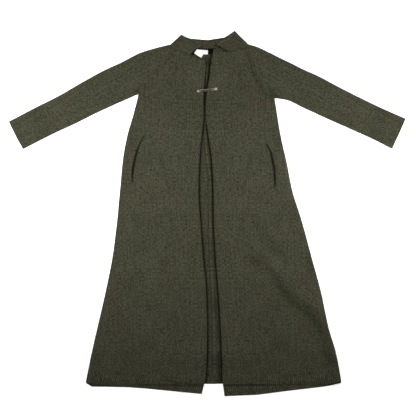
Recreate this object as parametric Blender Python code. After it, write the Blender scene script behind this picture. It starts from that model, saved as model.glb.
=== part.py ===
"""Full-length knit coat, laid face up on a flat surface, as separate closed solids of cloth.

Raglan sleeves, a stand collar, an open front closed by one safety pin, two slit pockets
and a ribbed hem. Lengths in the tables are millimetres. +X is the viewer's right, +Y points
to the collar and +Z up from the surface. The origin is the middle of the outline, on the surface.
"""
import math
from collections import namedtuple

import bmesh
import bpy
import numpy as np

MM = 0.001

# The cloth and how its two layers lie
CLOTH = 2.6  # thickness of the knit
SEAM_GAP = 0.3  # between two pieces along a seam
LOW_MID = CLOTH / 2  # middle of the lower layer, which rests on the surface
LAYER_GAP = 1.8  # air between the lower and the upper layer
HIGH_MID = CLOTH + LAYER_GAP + CLOTH / 2  # middle of the upper layer where it lies flat
FOLD_REACH = 4.0  # how far the middle of the cloth bulges sideways at a folded edge
FOLD_INSET = FOLD_REACH + CLOTH / 2  # from the outline to where the bulge starts
FOLD_PUFF = 1.6  # the upper layer stands this much higher beside a folded edge
PUFF_FADE = 22.0  # and settles over this distance
PIT_RUN = 10.0  # the side seam closes over this length from the armpit down
SEAM_HEIGHT = 4.3  # side and underarm seams run at this height
HEM_DROP_RUN = 16.0  # the fronts come down to the surface over this length past the back's hem
HEM_REST = 0.3  # height of the fronts' underside there
HEM_FOLD_SHARES = (0.25, 0.6)  # where, down a hem band, the row may stand that comes off the back's hem
NECKLINE_FADE = 60.0  # the neckline's bend eases out of a front's rows over this length

# Subdivision of the pieces
CURL_STEPS = 2  # quarter turn at a side or underarm seam
FOLD_STEPS = 4  # half turn at a folded edge
ARM_FRONT_STEPS = 4
ARM_BACK_STEPS = 3
COLLAR_ROWS = 4
HEM_BACK_STEPS = 12
COLLAR_END_STEPS = 4
COLLAR_BACK_STEPS = 6
SKIRT_ROW = 44.0  # usual spacing of a panel's rows below the armpit

# One line across the yoke, from the front edge round the shoulder to the back's raglan seam
Yoke = namedtuple("Yoke", "edge_x edge_y seam_x seam_y top_x top_y back_x back_y")
YOKE = {
    "left": (
        Yoke(-3, 536, -122, 579, -129, 591, -90, 571),
        Yoke(-5, 504, -138, 542, -169, 581, -118, 545),
        Yoke(-9, 459, -185, 481, -233, 562, -165, 498),
        Yoke(-11, 429, -215, 448, -270, 544, -203, 460),
        Yoke(-12, 403, -240, 417, -302, 527, -240, 417),
    ),
    "right": (
        Yoke(22, 576, 135, 579, 143, 592, 102, 572),
        Yoke(14, 535, 147, 542, 172, 583, 120, 545),
        Yoke(8, 480, 169, 480, 216, 563, 150, 495),
        Yoke(-1, 432, 200, 424, 260, 541, 196, 440),
        Yoke(-5, 403, 235, 403, 294, 525, 235, 403),
    ),
}

# One line across a front below the armpit, from the side seam to the front edge
Skirt = namedtuple("Skirt", "side_x side_y edge_x edge_y")
SKIRT = {
    "left": (
        Skirt(-240, 417, -12, 403),
        Skirt(-256, 354, -12, 352),
        Skirt(-280, 270, -19, 270),
        Skirt(-295, 186, -27, 186),
        Skirt(-305, 81, -30, 81),
        Skirt(-315, -24, -24, -24),
        Skirt(-331, -150, -14, -150),
        Skirt(-356, -276, -3, -276),
        Skirt(-385, -402, 0, -402),
        Skirt(-404, -486, -1, -492),
        Skirt(-416, -545, -5, -575),
        Skirt(-425, -591, -19, -631),
    ),
    "right": (
        Skirt(235, 403, -5, 403),
        Skirt(243, 354, -6, 352),
        Skirt(257, 270, 4, 270),
        Skirt(276, 186, 16, 186),
        Skirt(297, 81, 21, 81),
        Skirt(330, -24, 23, -24),
        Skirt(364, -150, 29, -150),
        Skirt(398, -276, 39, -276),
        Skirt(425, -402, 47, -402),
        Skirt(450, -486, 51, -492),
        Skirt(461, -540, 53, -583),
        Skirt(469, -591, 60, -639),
    ),
}

# One line across a sleeve, from its folded top edge to its underarm seam
Arm = namedtuple("Arm", "top_x top_y under_x under_y")
ARM = {
    "left": (
        Arm(-302, 527, -240, 417),
        Arm(-361, 500, -304, 389),
        Arm(-440, 457, -385, 352),
        Arm(-512, 415, -459, 315),
        Arm(-595, 373, -543, 276),
        Arm(-693, 322, -643, 225),
    ),
    "right": (
        Arm(294, 525, 235, 403),
        Arm(331, 506, 278, 396),
        Arm(389, 480, 337, 369),
        Arm(468, 438, 417, 332),
        Arm(552, 396, 503, 294),
        Arm(624, 362, 576, 261),
        Arm(693, 332, 645, 226),
    ),
}
CUFF_BOW = {"left": 2.0, "right": 1.0}  # how far a cuff's edge bulges between its corners

Spot = namedtuple("Spot", "x y")
CENTRE_BACK = (
    Spot(-1, 560), Spot(-6, 430), Spot(-6, 291), Spot(-3, 221),
    Spot(10, 116), Spot(11, -77), Spot(24, -409), Spot(25, -594),
)
BACK_HEM = (Spot(-425, -591), Spot(0, -596), Spot(469, -591))
NECK_BEND = {"left": Spot(-59, 551), "right": Spot(76, 566)}  # where the collar ends on a front
FRONT_HEM = {
    "left": (
        Spot(-425, -591), Spot(-405, -605), Spot(-286, -607),
        Spot(-214, -612), Spot(-73, -626), Spot(-19, -631),
    ),
    "right": (
        Spot(469, -591), Spot(433, -601), Spot(402, -606),
        Spot(284, -620), Spot(174, -634), Spot(60, -639),
    ),
}
BACK_BAND_TOP = -540.0
BACK_ROWS = 12  # of a back half, below the armpit
SEAM_RIDGE_WIDTH = 5.0  # half width of the centre-back seam, inside
SEAM_RIDGE_HEIGHT = 0.9

# Ribs of the fronts' hem bands
RIB_COLUMNS = 120  # two columns to a rib, about 6.7 mm apart
RIB_BACKING = 12  # columns of the plain inside
RIB_HEIGHT = 0.9

# Pocket slits: the centre line from the top end to the lower end
POCKET = {
    "left": (
        Spot(-221, 270), Spot(-234, 247), Spot(-244, 221), Spot(-252, 193),
        Spot(-258, 165), Spot(-262, 133), Spot(-261, 112),
    ),
    "right": (
        Spot(207, 242), Spot(221, 217), Spot(228, 186),
        Spot(235, 151), Spot(236, 112), Spot(234, 91),
    ),
}
SLIT_WIDTH = 7.0
SLIT_TIP = 1.4
SLIT_WIDEST = {"left": 1.5, "right": 0.68}  # above 1: a slit is widest in its lower half
BAG_DEPTH = 135.0  # from the slit towards the front edge
BAG_OVERLAP = 14.0  # past the slit on its outer side
BAG_BELOW = 55.0
BAG_ABOVE = 12.0
BAG_THICK = 1.0
BAG_CORNER = 5.0
BAG_HEIGHT = CLOTH + 0.3

# Safety pin: its coil and cap, and the holes that its needle goes through
PIN_COIL = Spot(-33, 427)
PIN_TILT = math.radians(7.0)
PIN_LENGTH = 66.0
PIN_WIRE = 1.6
COIL_TURNS = 1.5
COIL_STEPS = 18
COIL_AIR = 0.3  # between one turn of the coil and the next
PIN_HALF_SPREAD = 2.4  # from the middle to the bar, and to the needle
PIN_CAP = (9.0, 8.4, 4.6)
PIN_CAP_WALL = 0.7
PIN_LIFT = 2.0
PIN_LIFT_SPREAD = 30.0
NEEDLE_HEIGHT = 4.6
NEEDLE_HOLE = {"left": (7.0, 14.0), "right": (12.5, 21.5)}  # distances from the front edge
NEEDLE_ROWS = {"left": (428.8, 423.4), "right": (433.4, 428.0)}

# Collar: the upper edge, with the same stations as its base
COLLAR_TOP = {
    "left": {"end": Spot(-20, 581), "fold": Spot(-90, 626), "back": Spot(-60, 612)},
    "right": {"end": Spot(32, 590), "fold": Spot(96, 639), "back": Spot(60, 616)},
}
COLLAR_TOP_CENTRE = Spot(2, 607)
COLLAR_END_BOW = {"left": 7.0, "right": 0.0}  # how far a front end's free edge bulges away from its line
COLLAR_TIP_LIFT = {"left": 1.0, "right": 4.0}
COLLAR_TIP_RUN = 60.0

# Neck tape and labels
TAPE_LINE = (Spot(-92, 566), Spot(-45, 565), Spot(30, 568))
TAPE_WIDTH = 20.0
TAPE_THICK = 1.0
TAPE_HEIGHT = CLOTH + 0.3
Label = namedtuple("Label", "x y width height turn base thick")
LABEL_CORNER = 1.5
LABELS = {
    "neck_label": Label(-15.4, 564.4, 35, 15, -4, 4.2, 0.6),
    "size_label": Label(-28.4, 559.6, 29, 18.5, -33, 5.1, 0.6),
}

# Soft ridges of the upper layer: a bowed line, its height and its half width on the right of
# someone who walks the line; left_width is the other one where it differs, and 0 where it doesn't
Ridge = namedtuple("Ridge", "x1 y1 x2 y2 bow height width left_width", defaults=(0.0,))
RIDGES = (
    Ridge(-50, 552, -10, 548, 0, 2.0, 26),
    Ridge(205, -140, 391, -333, -22, 8.4, 17, 50),
    Ridge(405, -357, 446, -500, -8, 6.4, 16, 36),
    Ridge(190, -10, 290, -110, -10, 2.4, 26),
    Ridge(120, -230, 165, -590, 6, 1.9, 34),
    Ridge(290, -420, 318, -600, 0, 1.8, 30),
    Ridge(-330, -260, -368, -570, 8, 2.0, 36),
    Ridge(-205, -120, -236, -560, 10, 2.0, 34),
    Ridge(-90, -300, -110, -600, 0, 1.6, 30),
    Ridge(-262, 60, -280, -120, 8, 1.6, 26),
    Ridge(-170, 360, -215, 250, 6, 1.6, 24),
    Ridge(150, 350, 205, 265, 6, 1.6, 24),
    Ridge(-160, 470, -190, 400, 4, 1.5, 20),
    Ridge(150, 470, 195, 400, 4, 1.5, 20),
    Ridge(-420, 420, -350, 440, 4, 1.4, 18),
    Ridge(-560, 345, -490, 372, 4, 1.2, 18),
    Ridge(395, 405, 470, 400, 4, 1.4, 18),
    Ridge(520, 350, 590, 325, 4, 1.2, 18),
    Ridge(-214, 262, -246, 120, 8, 1.9, 12),
    Ridge(203, 236, 224, 96, -8, 1.9, 12),
    Ridge(-545, 368, -512, 316, 0, 1.5, 8),
)

SIDES = ("left", "right")
TURN = {"left": -1.0, "right": 1.0}

KNIT = (0.058, 0.059, 0.036)
RIB_KNIT = (0.045, 0.046, 0.028)
BAG_KNIT = (0.03, 0.03, 0.02)
TAPE_BLACK = (0.006, 0.006, 0.006)
LABEL_WHITE = (0.8, 0.8, 0.78)
SILVER = (0.72, 0.72, 0.7)


def unit(vectors):
    """The same directions with length 1."""
    vectors = np.asarray(vectors, float)
    return vectors / np.maximum(np.linalg.norm(vectors, axis=-1, keepdims=True), 1e-9)


def smooth(stops, values, at):
    """A curve through a table's values that doesn't swing past them."""
    stops, values = np.asarray(stops, float), np.asarray(values, float)
    run = np.diff(stops)
    slope = np.diff(values) / run
    tangent = np.zeros(len(values))
    tangent[0], tangent[-1] = slope[0], slope[-1]
    same_way = slope[1:] * slope[:-1] > 0
    pair_sum = np.where(same_way, slope[1:] + slope[:-1], 1.0)
    tangent[1:-1] = np.where(same_way, 2 * slope[1:] * slope[:-1] / pair_sum, 0.0)
    at = np.asarray(at, float)
    k = np.clip(np.searchsorted(stops, at) - 1, 0, len(run) - 1)
    t = (at - stops[k]) / run[k]
    return (
        values[k] * (1 + 2 * t) * (1 - t) ** 2
        + tangent[k] * run[k] * t * (1 - t) ** 2
        + values[k + 1] * t**2 * (3 - 2 * t)
        - tangent[k + 1] * run[k] * t**2 * (1 - t)
    )


def columns(table, x_name, y_name):
    """Two named columns of a table, as points."""
    return np.array([[getattr(row, x_name), getattr(row, y_name)] for row in table], float)


def at_levels(table, level_name, x_name, y_name, levels):
    """Points of two named columns at stated values of a third, which falls down the table."""
    stops = [-getattr(row, level_name) for row in table]
    points = columns(table, x_name, y_name)
    return np.stack([smooth(stops, points[:, k], -np.asarray(levels)) for k in (0, 1)], axis=-1)


def outward_of(points, side):
    """Directions in the plane that point away from the coat, along a line that runs away from the neck."""
    along = unit(np.gradient(points, axis=0))
    return TURN[side] * np.stack([-along[:, 1], along[:, 0]], axis=-1)


def distance_to_lines(points, lines):
    """Distance from each point to the nearest of several polylines."""
    best = np.full(points.shape[:-1], np.inf)
    for line in lines:
        for start, end in zip(line[:-1], line[1:]):
            run = end - start
            t = np.clip(((points - start) @ run) / (run @ run), 0, 1)
            foot = start + t[..., None] * run
            best = np.minimum(best, np.linalg.norm(points - foot, axis=-1))
    return best


def ridge_height(points, ridge):
    """Height that one soft ridge adds: a bell across a bowed line, faded at its ends."""
    start = np.array([ridge.x1, ridge.y1], float)
    run = np.array([ridge.x2, ridge.y2], float) - start
    length = np.linalg.norm(run)
    along = (points - start) @ run / length**2
    across = (points - start) @ np.array([-run[1], run[0]]) / length
    t = np.clip(along, 0, 1)
    past = (along - t) * length
    across = across - ridge.bow * 4 * t * (1 - t)
    width = np.where(across > 0, ridge.left_width or ridge.width, ridge.width)
    return ridge.height * np.exp(-((across / width) ** 2) - (past / ridge.width) ** 2)


def folded_lines():
    """The outline's folded stretches: side seams, sleeve edges and the collar's side folds."""
    lines = []
    for side in SIDES:
        lines.append(columns(SKIRT[side], "side_x", "side_y"))
        lines.append(columns(ARM[side], "under_x", "under_y"))
        tops = columns(YOKE[side], "top_x", "top_y")
        lines.append(np.vstack([tops, columns(ARM[side], "top_x", "top_y")[1:]]))
        lines.append(np.array([tops[0], COLLAR_TOP[side]["fold"]], float))
    return lines


FOLDED_LINES = folded_lines()


def high_mid(points):
    """Height of the middle of the upper layer over points of the plane."""
    inside = np.maximum(distance_to_lines(points, FOLDED_LINES) - FOLD_INSET, 0)
    height = HIGH_MID + FOLD_PUFF * np.exp(-inside / PUFF_FADE)
    for ridge in RIDGES:
        height = height + ridge_height(points, ridge)
    middle = np.array(PIN_COIL) + 0.5 * PIN_LENGTH * np.array([math.cos(PIN_TILT), math.sin(PIN_TILT)])
    from_pin = np.linalg.norm(points - middle, axis=-1)
    height = height + PIN_LIFT * np.exp(-((from_pin / PIN_LIFT_SPREAD) ** 2))
    hem = np.array(BACK_HEM, float)
    past_hem = np.interp(points[..., 0], hem[:, 0], hem[:, 1]) - points[..., 1]
    t = np.clip(past_hem / HEM_DROP_RUN, 0, 1)
    share = t * t * (3 - 2 * t)
    return height + share * (HEM_REST + CLOTH / 2 - height)


def bend_turn(start_z, end_z, inner, outward, angles):
    """Points and outward directions round a bulge, from a flat layer to a quarter or a half turn."""
    middle_z, half = (start_z + end_z) / 2, (start_z - end_z) / 2
    plan = inner[..., None, :] + outward[..., None, :] * (FOLD_REACH * np.sin(angles))[:, None]
    z = middle_z[..., None] + half[..., None] * np.cos(angles)
    sideways = outward[..., None, :] * (np.sin(angles) / FOLD_REACH)[:, None]
    upward = np.cos(angles) / half[..., None]
    return (
        np.concatenate([plan, z[..., None]], axis=-1),
        unit(np.concatenate([sideways, upward[..., None]], axis=-1)),
    )


def curl(seam, inner, outward, flat_z, amount):
    """Columns from a seam to where its panel lies flat; amount 1 is a full quarter turn."""
    steps = np.arange(CURL_STEPS) / CURL_STEPS
    angles = (1 - steps) * math.pi / 2
    mirror_z = 2 * SEAM_HEIGHT - flat_z
    turned, normals = bend_turn(flat_z, mirror_z, inner, outward, angles)
    plan = seam[..., None, :] + (inner - seam)[..., None, :] * steps[:, None]
    z = np.broadcast_to(flat_z[..., None], plan.shape[:-1])
    flat = np.concatenate([plan, z[..., None]], axis=-1)
    up = np.zeros_like(flat)
    up[..., 2] = np.sign(flat_z - SEAM_HEIGHT)[..., None]
    share = amount[..., None, None]
    return (1 - share) * flat + share * turned, unit((1 - share) * up + share * normals)


def draw_back(mid, edge):
    """Moves one edge of a grid of points back from its seam by half the seam gap."""
    lines = {
        "first_row": (mid[0], mid[1]),
        "last_row": (mid[-1], mid[-2]),
        "first_column": (mid[:, 0], mid[:, 1]),
        "last_column": (mid[:, -1], mid[:, -2]),
    }
    line, following = lines[edge]
    along = unit(np.gradient(line, axis=0))
    inward = following - line
    inward = inward - (inward * along).sum(-1, keepdims=True) * along
    line += unit(inward) * SEAM_GAP / 2


def material(name, colour, roughness=0.9, metallic=0.0):
    """A plain Principled material."""
    found = bpy.data.materials.get(name)
    if found:
        return found
    made = bpy.data.materials.new(name)
    made.use_nodes = True
    shader = made.node_tree.nodes["Principled BSDF"]
    shader.inputs["Base Color"].default_value = (*colour, 1.0)
    shader.inputs["Roughness"].default_value = roughness
    shader.inputs["Metallic"].default_value = metallic
    return made


def add_object(name, points, faces, finish):
    """A mesh object from points in millimetres, with its faces turned outward."""
    mesh = bpy.data.meshes.new(name)
    mesh.from_pydata([tuple(p) for p in np.asarray(points) * MM], [], faces)
    bm = bmesh.new()
    bm.from_mesh(mesh)
    bmesh.ops.recalc_face_normals(bm, faces=bm.faces)
    bm.to_mesh(mesh)
    bm.free()
    mesh.materials.append(finish)
    made = bpy.data.objects.new(name, mesh)
    bpy.context.scene.collection.objects.link(made)
    return made


def grid_faces(index):
    """Four-sided faces over a grid of vertex numbers."""
    loops = np.stack([index[:-1, :-1], index[:-1, 1:], index[1:, 1:], index[1:, :-1]], axis=-1)
    return loops.reshape(-1, 4).tolist()


def grid_wall(name, mid, normal, finish, inside_raise=None, holes=()):
    """A closed wall of cloth about a grid of middle points, with rims at its edges and holes."""
    rows, across = mid.shape[:2]
    lift = np.zeros((rows, across)) if inside_raise is None else inside_raise
    outer = mid + normal * CLOTH / 2
    inner = mid - normal * (CLOTH / 2 + lift[..., None])
    points = np.concatenate([outer.reshape(-1, 3), inner.reshape(-1, 3)])
    index = np.arange(rows * across).reshape(rows, across)
    inner_shift = rows * across
    faces, edges = [], set()
    for r in range(rows - 1):
        for c in range(across - 1):
            if (r, c) in holes:
                continue
            loop = [int(index[r, c]), int(index[r, c + 1]), int(index[r + 1, c + 1]), int(index[r + 1, c])]
            faces.append(loop)
            faces.append([i + inner_shift for i in reversed(loop)])
            edges.update(zip(loop, loop[1:] + loop[:1]))
    for a, b in sorted(edges):
        if (b, a) not in edges:
            faces.append([b, a, a + inner_shift, b + inner_shift])
    return add_object(name, points, faces, finish)


def zip_strip(first, first_at, second, second_at):
    """Triangles between two lines of vertices, matched by their places along the strip."""
    i, j, faces = 0, 0, []
    while i < len(first) - 1 or j < len(second) - 1:
        step_first = j == len(second) - 1 or (
            i < len(first) - 1 and first_at[i + 1] <= second_at[j + 1] + 1e-9
        )
        if step_first:
            faces.append([first[i], first[i + 1], second[j]])
            i += 1
        else:
            faces.append([first[i], second[j + 1], second[j]])
            j += 1
    return faces


def blend_in(levels, start, full):
    """0 at the start level and 1 from the full level on, for levels that fall."""
    return np.clip((start - np.asarray(levels, float)) / (start - full), 0, 1)


def yoke_levels(side):
    """Front-edge heights of the rows between the neckline and the armpit."""
    stops = [row.edge_y for row in YOKE[side]]
    halves = [(a + b) / 2 for a, b in zip(stops[:-1], stops[1:])]
    wanted = list(NEEDLE_ROWS[side])
    kept = [s for s in stops[1:-1] + halves if min(abs(s - w) for w in wanted) > 5]
    return np.array(sorted({stops[0], stops[-1], *kept, *wanted}, reverse=True))


def skirt_levels(side):
    """Front-edge heights of the rows between the armpit and the hem band."""
    top, bottom = SKIRT[side][0].edge_y, SKIRT[side][-2].edge_y
    slit_top, slit_end = POCKET[side][0].y, POCKET[side][-1].y
    slit = np.linspace(slit_top, slit_end, 7)
    count = round((slit_end - bottom) / SKIRT_ROW)
    below = np.linspace(slit_end, bottom, count + 1)[1:]
    above = np.linspace(top - 24, slit_top, 4)[:-1]
    return np.concatenate([[top, top - 10], above, slit, below])


def bow(points, x):
    """How far a bent edge is from the straight line between its ends, in y, at places along x."""
    points = np.asarray(points, float)
    order = np.argsort(points[:, 0])
    points = points[order]
    straight = np.interp(points[:, 0], points[[0, -1], 0], points[[0, -1], 1])
    return np.interp(x, points[:, 0], points[:, 1] - straight)


def front_shares(side, levels, starts, edges):
    """Places of a front's flat columns, as shares of each row from the side to the front edge."""
    slit = np.array(POCKET[side], float)
    heights = np.clip(levels, slit[-1, 1], slit[0, 1])
    centre = smooth(-slit[:, 1], slit[:, 0], -heights)
    at_slit_start = at_levels(SKIRT[side], "edge_y", "side_x", "side_y", heights)
    at_slit_edge = at_levels(SKIRT[side], "edge_y", "edge_x", "edge_y", heights)
    inset = TURN[side] * FOLD_INSET
    slit_start_x = at_slit_start[:, 0] - inset
    share = (centre - slit_start_x) / (at_slit_edge[:, 0] - slit_start_x)
    length = np.linalg.norm(edges - starts, axis=-1)
    along_slit = (slit[0, 1] - heights) / (slit[0, 1] - slit[-1, 1])
    open_share = np.sin(math.pi * along_slit ** SLIT_WIDEST[side])
    half = 0.5 * (SLIT_TIP + (SLIT_WIDTH - SLIT_TIP) * open_share) / length
    neck_share = (NECK_BEND[side].x - starts[0, 0]) / (edges[0, 0] - starts[0, 0])
    near, far = NEEDLE_HOLE[side]
    outer, inner = share - half, share + half
    hole_far, hole_near = 1 - far / length, 1 - near / length
    neck = np.full(len(length), neck_share)
    return np.stack(
        [
            np.zeros(len(length)),
            outer / 2,
            outer,
            inner,
            inner + (neck - inner) / 2,
            neck,
            neck + (hole_far - neck) / 3,
            neck + (hole_far - neck) * 2 / 3,
            hole_far,
            hole_near,
            np.ones(len(length)),
        ],
        axis=-1,
    )


SLIT_COLUMN = 2  # the flat column whose cells are open along the slit
HOLE_COLUMN = 8  # the flat column whose cell is open for the needle


def front(side):
    """A front: flat over the back, curled down at its side seam, open at its slit and round the needle."""
    high, low = yoke_levels(side), skirt_levels(side)
    seam = np.vstack([
        at_levels(YOKE[side], "edge_y", "seam_x", "seam_y", high),
        at_levels(SKIRT[side], "edge_y", "side_x", "side_y", low[1:]),
    ])
    edge = np.vstack([
        at_levels(YOKE[side], "edge_y", "edge_x", "edge_y", high),
        at_levels(SKIRT[side], "edge_y", "edge_x", "edge_y", low[1:]),
    ])
    levels = np.concatenate([high, low[1:]])
    amount = blend_in(levels, high[-1], high[-1] - PIT_RUN)
    across = unit(seam - edge)
    outward = outward_of(seam, side)
    outward[len(high):] = outward_of(seam[len(high) - 1:], side)[1:]
    outward = unit((1 - amount)[:, None] * across + amount[:, None] * outward)
    outward[-1] = across[-1]
    inner = seam - outward * FOLD_INSET
    shares = front_shares(side, levels, inner, edge)
    plan = inner[:, None] + (edge - inner)[:, None] * shares[..., None]
    neckline = (YOKE[side][0][2:4], NECK_BEND[side], YOKE[side][0][0:2])
    bow_share = 1 - blend_in(levels, high[0], high[0] - NECKLINE_FADE)[:, None]
    plan[..., 1] += bow_share * bow(neckline, plan[0, :, 0])
    flat = np.concatenate([plan, high_mid(plan)[..., None]], axis=-1)
    up = np.zeros_like(flat)
    up[..., 2] = 1.0
    curled, curled_up = curl(seam, plan[:, 0], outward, flat[:, 0, 2], amount)
    mid = np.concatenate([curled, flat], axis=1)
    normal = np.concatenate([curled_up, up], axis=1)
    for name in ("first_column", "first_row", "last_row"):
        draw_back(mid, name)
    holes = set()
    slit_top, slit_end = POCKET[side][0].y, POCKET[side][-1].y
    for row in range(len(levels) - 1):
        middle = (levels[row] + levels[row + 1]) / 2
        if slit_end < middle < slit_top:
            holes.add((row, CURL_STEPS + SLIT_COLUMN))
        if NEEDLE_ROWS[side][1] < middle < NEEDLE_ROWS[side][0]:
            holes.add((row, CURL_STEPS + HOLE_COLUMN))
    return grid_wall(f"front_{side}", mid, normal, material("knit", KNIT), holes=holes)


def hem_rows(top_y, hem_y, x):
    """Shares of the way down a front's hem band: two rows stand where it comes off the back's hem."""
    hem = np.array(BACK_HEM, float)
    off = (top_y - np.interp(x, hem[:, 0], hem[:, 1]) + 1) / (top_y - hem_y)
    first = np.clip(off, *HEM_FOLD_SHARES)
    second = first + np.minimum(HEM_DROP_RUN / (top_y - hem_y), (1 - first) * HEM_FOLD_SHARES[1])
    return np.stack([np.zeros(len(first)), first, second, np.ones(len(first))])


def hem_band_points(side, count):
    """Middle points, normals and places along a front's hem band, with a stated number of flat columns."""
    top, hem = SKIRT[side][-2], SKIRT[side][-1]
    lines = []
    for row in (top, hem):
        seam, edge = np.array(row[0:2], float), np.array(row[2:4], float)
        inner = seam + unit(edge - seam) * FOLD_INSET
        curl_place = np.arange(CURL_STEPS)[:, None] / CURL_STEPS
        place = np.linspace(0, 1, count + 1)[:, None]
        lines.append(np.vstack([seam + (inner - seam) * curl_place, inner + (edge - inner) * place]))
    high, low = lines
    low[:, 1] += bow(FRONT_HEM[side], low[:, 0])
    shares = hem_rows(high[:, 1], low[:, 1], low[:, 0])
    shares[:, :CURL_STEPS] = shares[:, CURL_STEPS:CURL_STEPS + 1]
    plan = high + (low - high) * shares[..., None]
    seam, inner = plan[:, 0], plan[:, CURL_STEPS]
    flat = np.concatenate([plan[:, CURL_STEPS:], high_mid(plan[:, CURL_STEPS:])[..., None]], axis=-1)
    up = np.zeros_like(flat)
    up[..., 2] = 1.0
    seam_z = np.maximum(flat[:, 0, 2], SEAM_HEIGHT + 1.0)
    curled, curled_up = curl(seam, inner, unit(seam - inner), seam_z, np.ones(len(seam)))
    mid = np.concatenate([curled, flat], axis=1)
    draw_back(mid, "first_row")
    draw_back(mid, "first_column")
    along = np.concatenate([curl_place[:, 0] - 1, place[:, 0]])
    return mid, np.concatenate([curled_up, up], axis=1), along


def hem_band(side):
    """The ribbed band below a front, its ribs raised in the outer points over a plain inside."""
    fine, fine_up, fine_at = hem_band_points(side, RIB_COLUMNS)
    plain, plain_up, plain_at = hem_band_points(side, RIB_BACKING)
    rib = np.zeros(fine.shape[1])
    rib[CURL_STEPS + 1:-1:2] = RIB_HEIGHT
    outer = fine + fine_up * (CLOTH / 2 + rib)[None, :, None]
    inside = plain - plain_up * CLOTH / 2
    outer_index = np.arange(outer.shape[0] * outer.shape[1]).reshape(outer.shape[:2])
    inside_index = np.arange(inside.shape[0] * inside.shape[1]).reshape(inside.shape[:2])
    inside_index += outer_index.size
    faces = grid_faces(outer_index) + grid_faces(inside_index)
    for r in (0, -1):
        faces += zip_strip(outer_index[r].tolist(), fine_at, inside_index[r].tolist(), plain_at)
    for c in (0, -1):
        faces += grid_faces(np.stack([outer_index[:, c], inside_index[:, c]], axis=1))
    points = np.concatenate([outer.reshape(-1, 3), inside.reshape(-1, 3)])
    return add_object(f"hem_front_{side}", points, faces, material("rib_knit", RIB_KNIT))


def centre_back_x(y):
    """Place of the centre-back seam at a height."""
    line = np.array(CENTRE_BACK, float)
    return smooth(-line[:, 1], line[:, 0], -np.asarray(y, float))


def back_rows(side):
    """Rows of a back half: seam points, centre points and how far each row is curled."""
    high = at_levels(YOKE[side], "edge_y", "back_x", "back_y", yoke_levels(side))
    sides = columns(SKIRT[side], "side_x", "side_y")
    armpit = sides[0, 1]
    low_y = np.concatenate([[armpit - 10, armpit - 24], np.linspace(armpit - 60, BACK_BAND_TOP, BACK_ROWS)])
    low_x = smooth(-sides[:, 1], sides[:, 0], -low_y)
    seam = np.vstack([high, np.stack([low_x, low_y], axis=-1)])
    top, middle = CENTRE_BACK[0].y, sum(SKIRT[name][0].side_y for name in SIDES) / 2
    centre_y = np.concatenate([
        np.linspace(top, middle, len(high)),
        [middle - 10, middle - 24],
        np.linspace(middle - 60, BACK_BAND_TOP, BACK_ROWS),
    ])
    centre = np.stack([centre_back_x(centre_y), centre_y], axis=-1)
    amount = np.concatenate([np.zeros(len(high)), blend_in(low_y, armpit, armpit - PIT_RUN)])
    return seam, centre, amount, len(high)


def back(side):
    """A back half: flat on the surface, curled up at its side, its centre seam raised inside."""
    seam, centre, amount, yoke_count = back_rows(side)
    across = unit(seam - centre)
    outward = outward_of(seam, side)
    outward[yoke_count:] = outward_of(seam[yoke_count - 1:], side)[1:]
    outward = unit((1 - amount)[:, None] * across + amount[:, None] * outward)
    outward[-1] = across[-1]
    inner = seam - outward * FOLD_INSET
    length = np.linalg.norm(centre - inner, axis=-1)
    ridge_share = 1 - SEAM_RIDGE_WIDTH / length
    shares = np.stack(
        [0 * length, 0.18 + 0 * length, 0.5 + 0 * length, 0.8 + 0 * length,
         ridge_share - 2.0 / length, ridge_share, 1 + 0 * length],
        axis=-1,
    )
    plan = inner[:, None] + (centre - inner)[:, None] * shares[..., None]
    flat = np.concatenate([plan, np.full((*plan.shape[:-1], 1), LOW_MID)], axis=-1)
    down = np.zeros_like(flat)
    down[..., 2] = -1.0
    curled, curled_down = curl(seam, inner, outward, flat[:, 0, 2], amount)
    mid = np.concatenate([curled, flat], axis=1)
    normal = np.concatenate([curled_down, down], axis=1)
    for name in ("first_column", "last_column", "first_row", "last_row"):
        draw_back(mid, name)
    ridge = np.zeros(mid.shape[:2])
    ridge[2:, -2:] = SEAM_RIDGE_HEIGHT
    return grid_wall(f"back_{side}", mid, normal, material("knit", KNIT), inside_raise=ridge)


def hem_back():
    """The back's hem band, in one piece from side seam to side seam, flat on the surface."""
    shares = np.array([0.0, 0.4, 1.0])
    hem = np.array(BACK_HEM, float)
    seams, inners, turned = {}, {}, {}
    for side, corner in zip(SIDES, (hem[0], hem[-1])):
        sides = columns(SKIRT[side], "side_x", "side_y")
        y = BACK_BAND_TOP + shares * (corner[1] - BACK_BAND_TOP)
        seams[side] = np.stack([smooth(-sides[:, 1], sides[:, 0], -y), y], axis=-1)
        outward = np.tile([TURN[side], 0.0], (len(y), 1))
        inners[side] = seams[side] - outward * FOLD_INSET
        low = np.full(len(y), LOW_MID)
        turned[side] = curl(seams[side], inners[side], outward, low, np.ones(len(y)))
    place = np.linspace(0, 1, HEM_BACK_STEPS + 1)[:, None]
    plan = inners["left"][:, None] + (inners["right"] - inners["left"])[:, None] * place
    plan[..., 1] += shares[:, None] * bow(hem, plan[..., 0])
    flat = np.concatenate([plan, np.full((*plan.shape[:-1], 1), LOW_MID)], axis=-1)
    down = np.zeros_like(flat)
    down[..., 2] = -1.0
    mid = np.concatenate([turned["left"][0], flat, turned["right"][0][:, ::-1]], axis=1)
    normal = np.concatenate([turned["left"][1], down, turned["right"][1][:, ::-1]], axis=1)
    for name in ("first_column", "last_column", "first_row"):
        draw_back(mid, name)
    return grid_wall("hem_back", mid, normal, material("rib_knit", RIB_KNIT))


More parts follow.
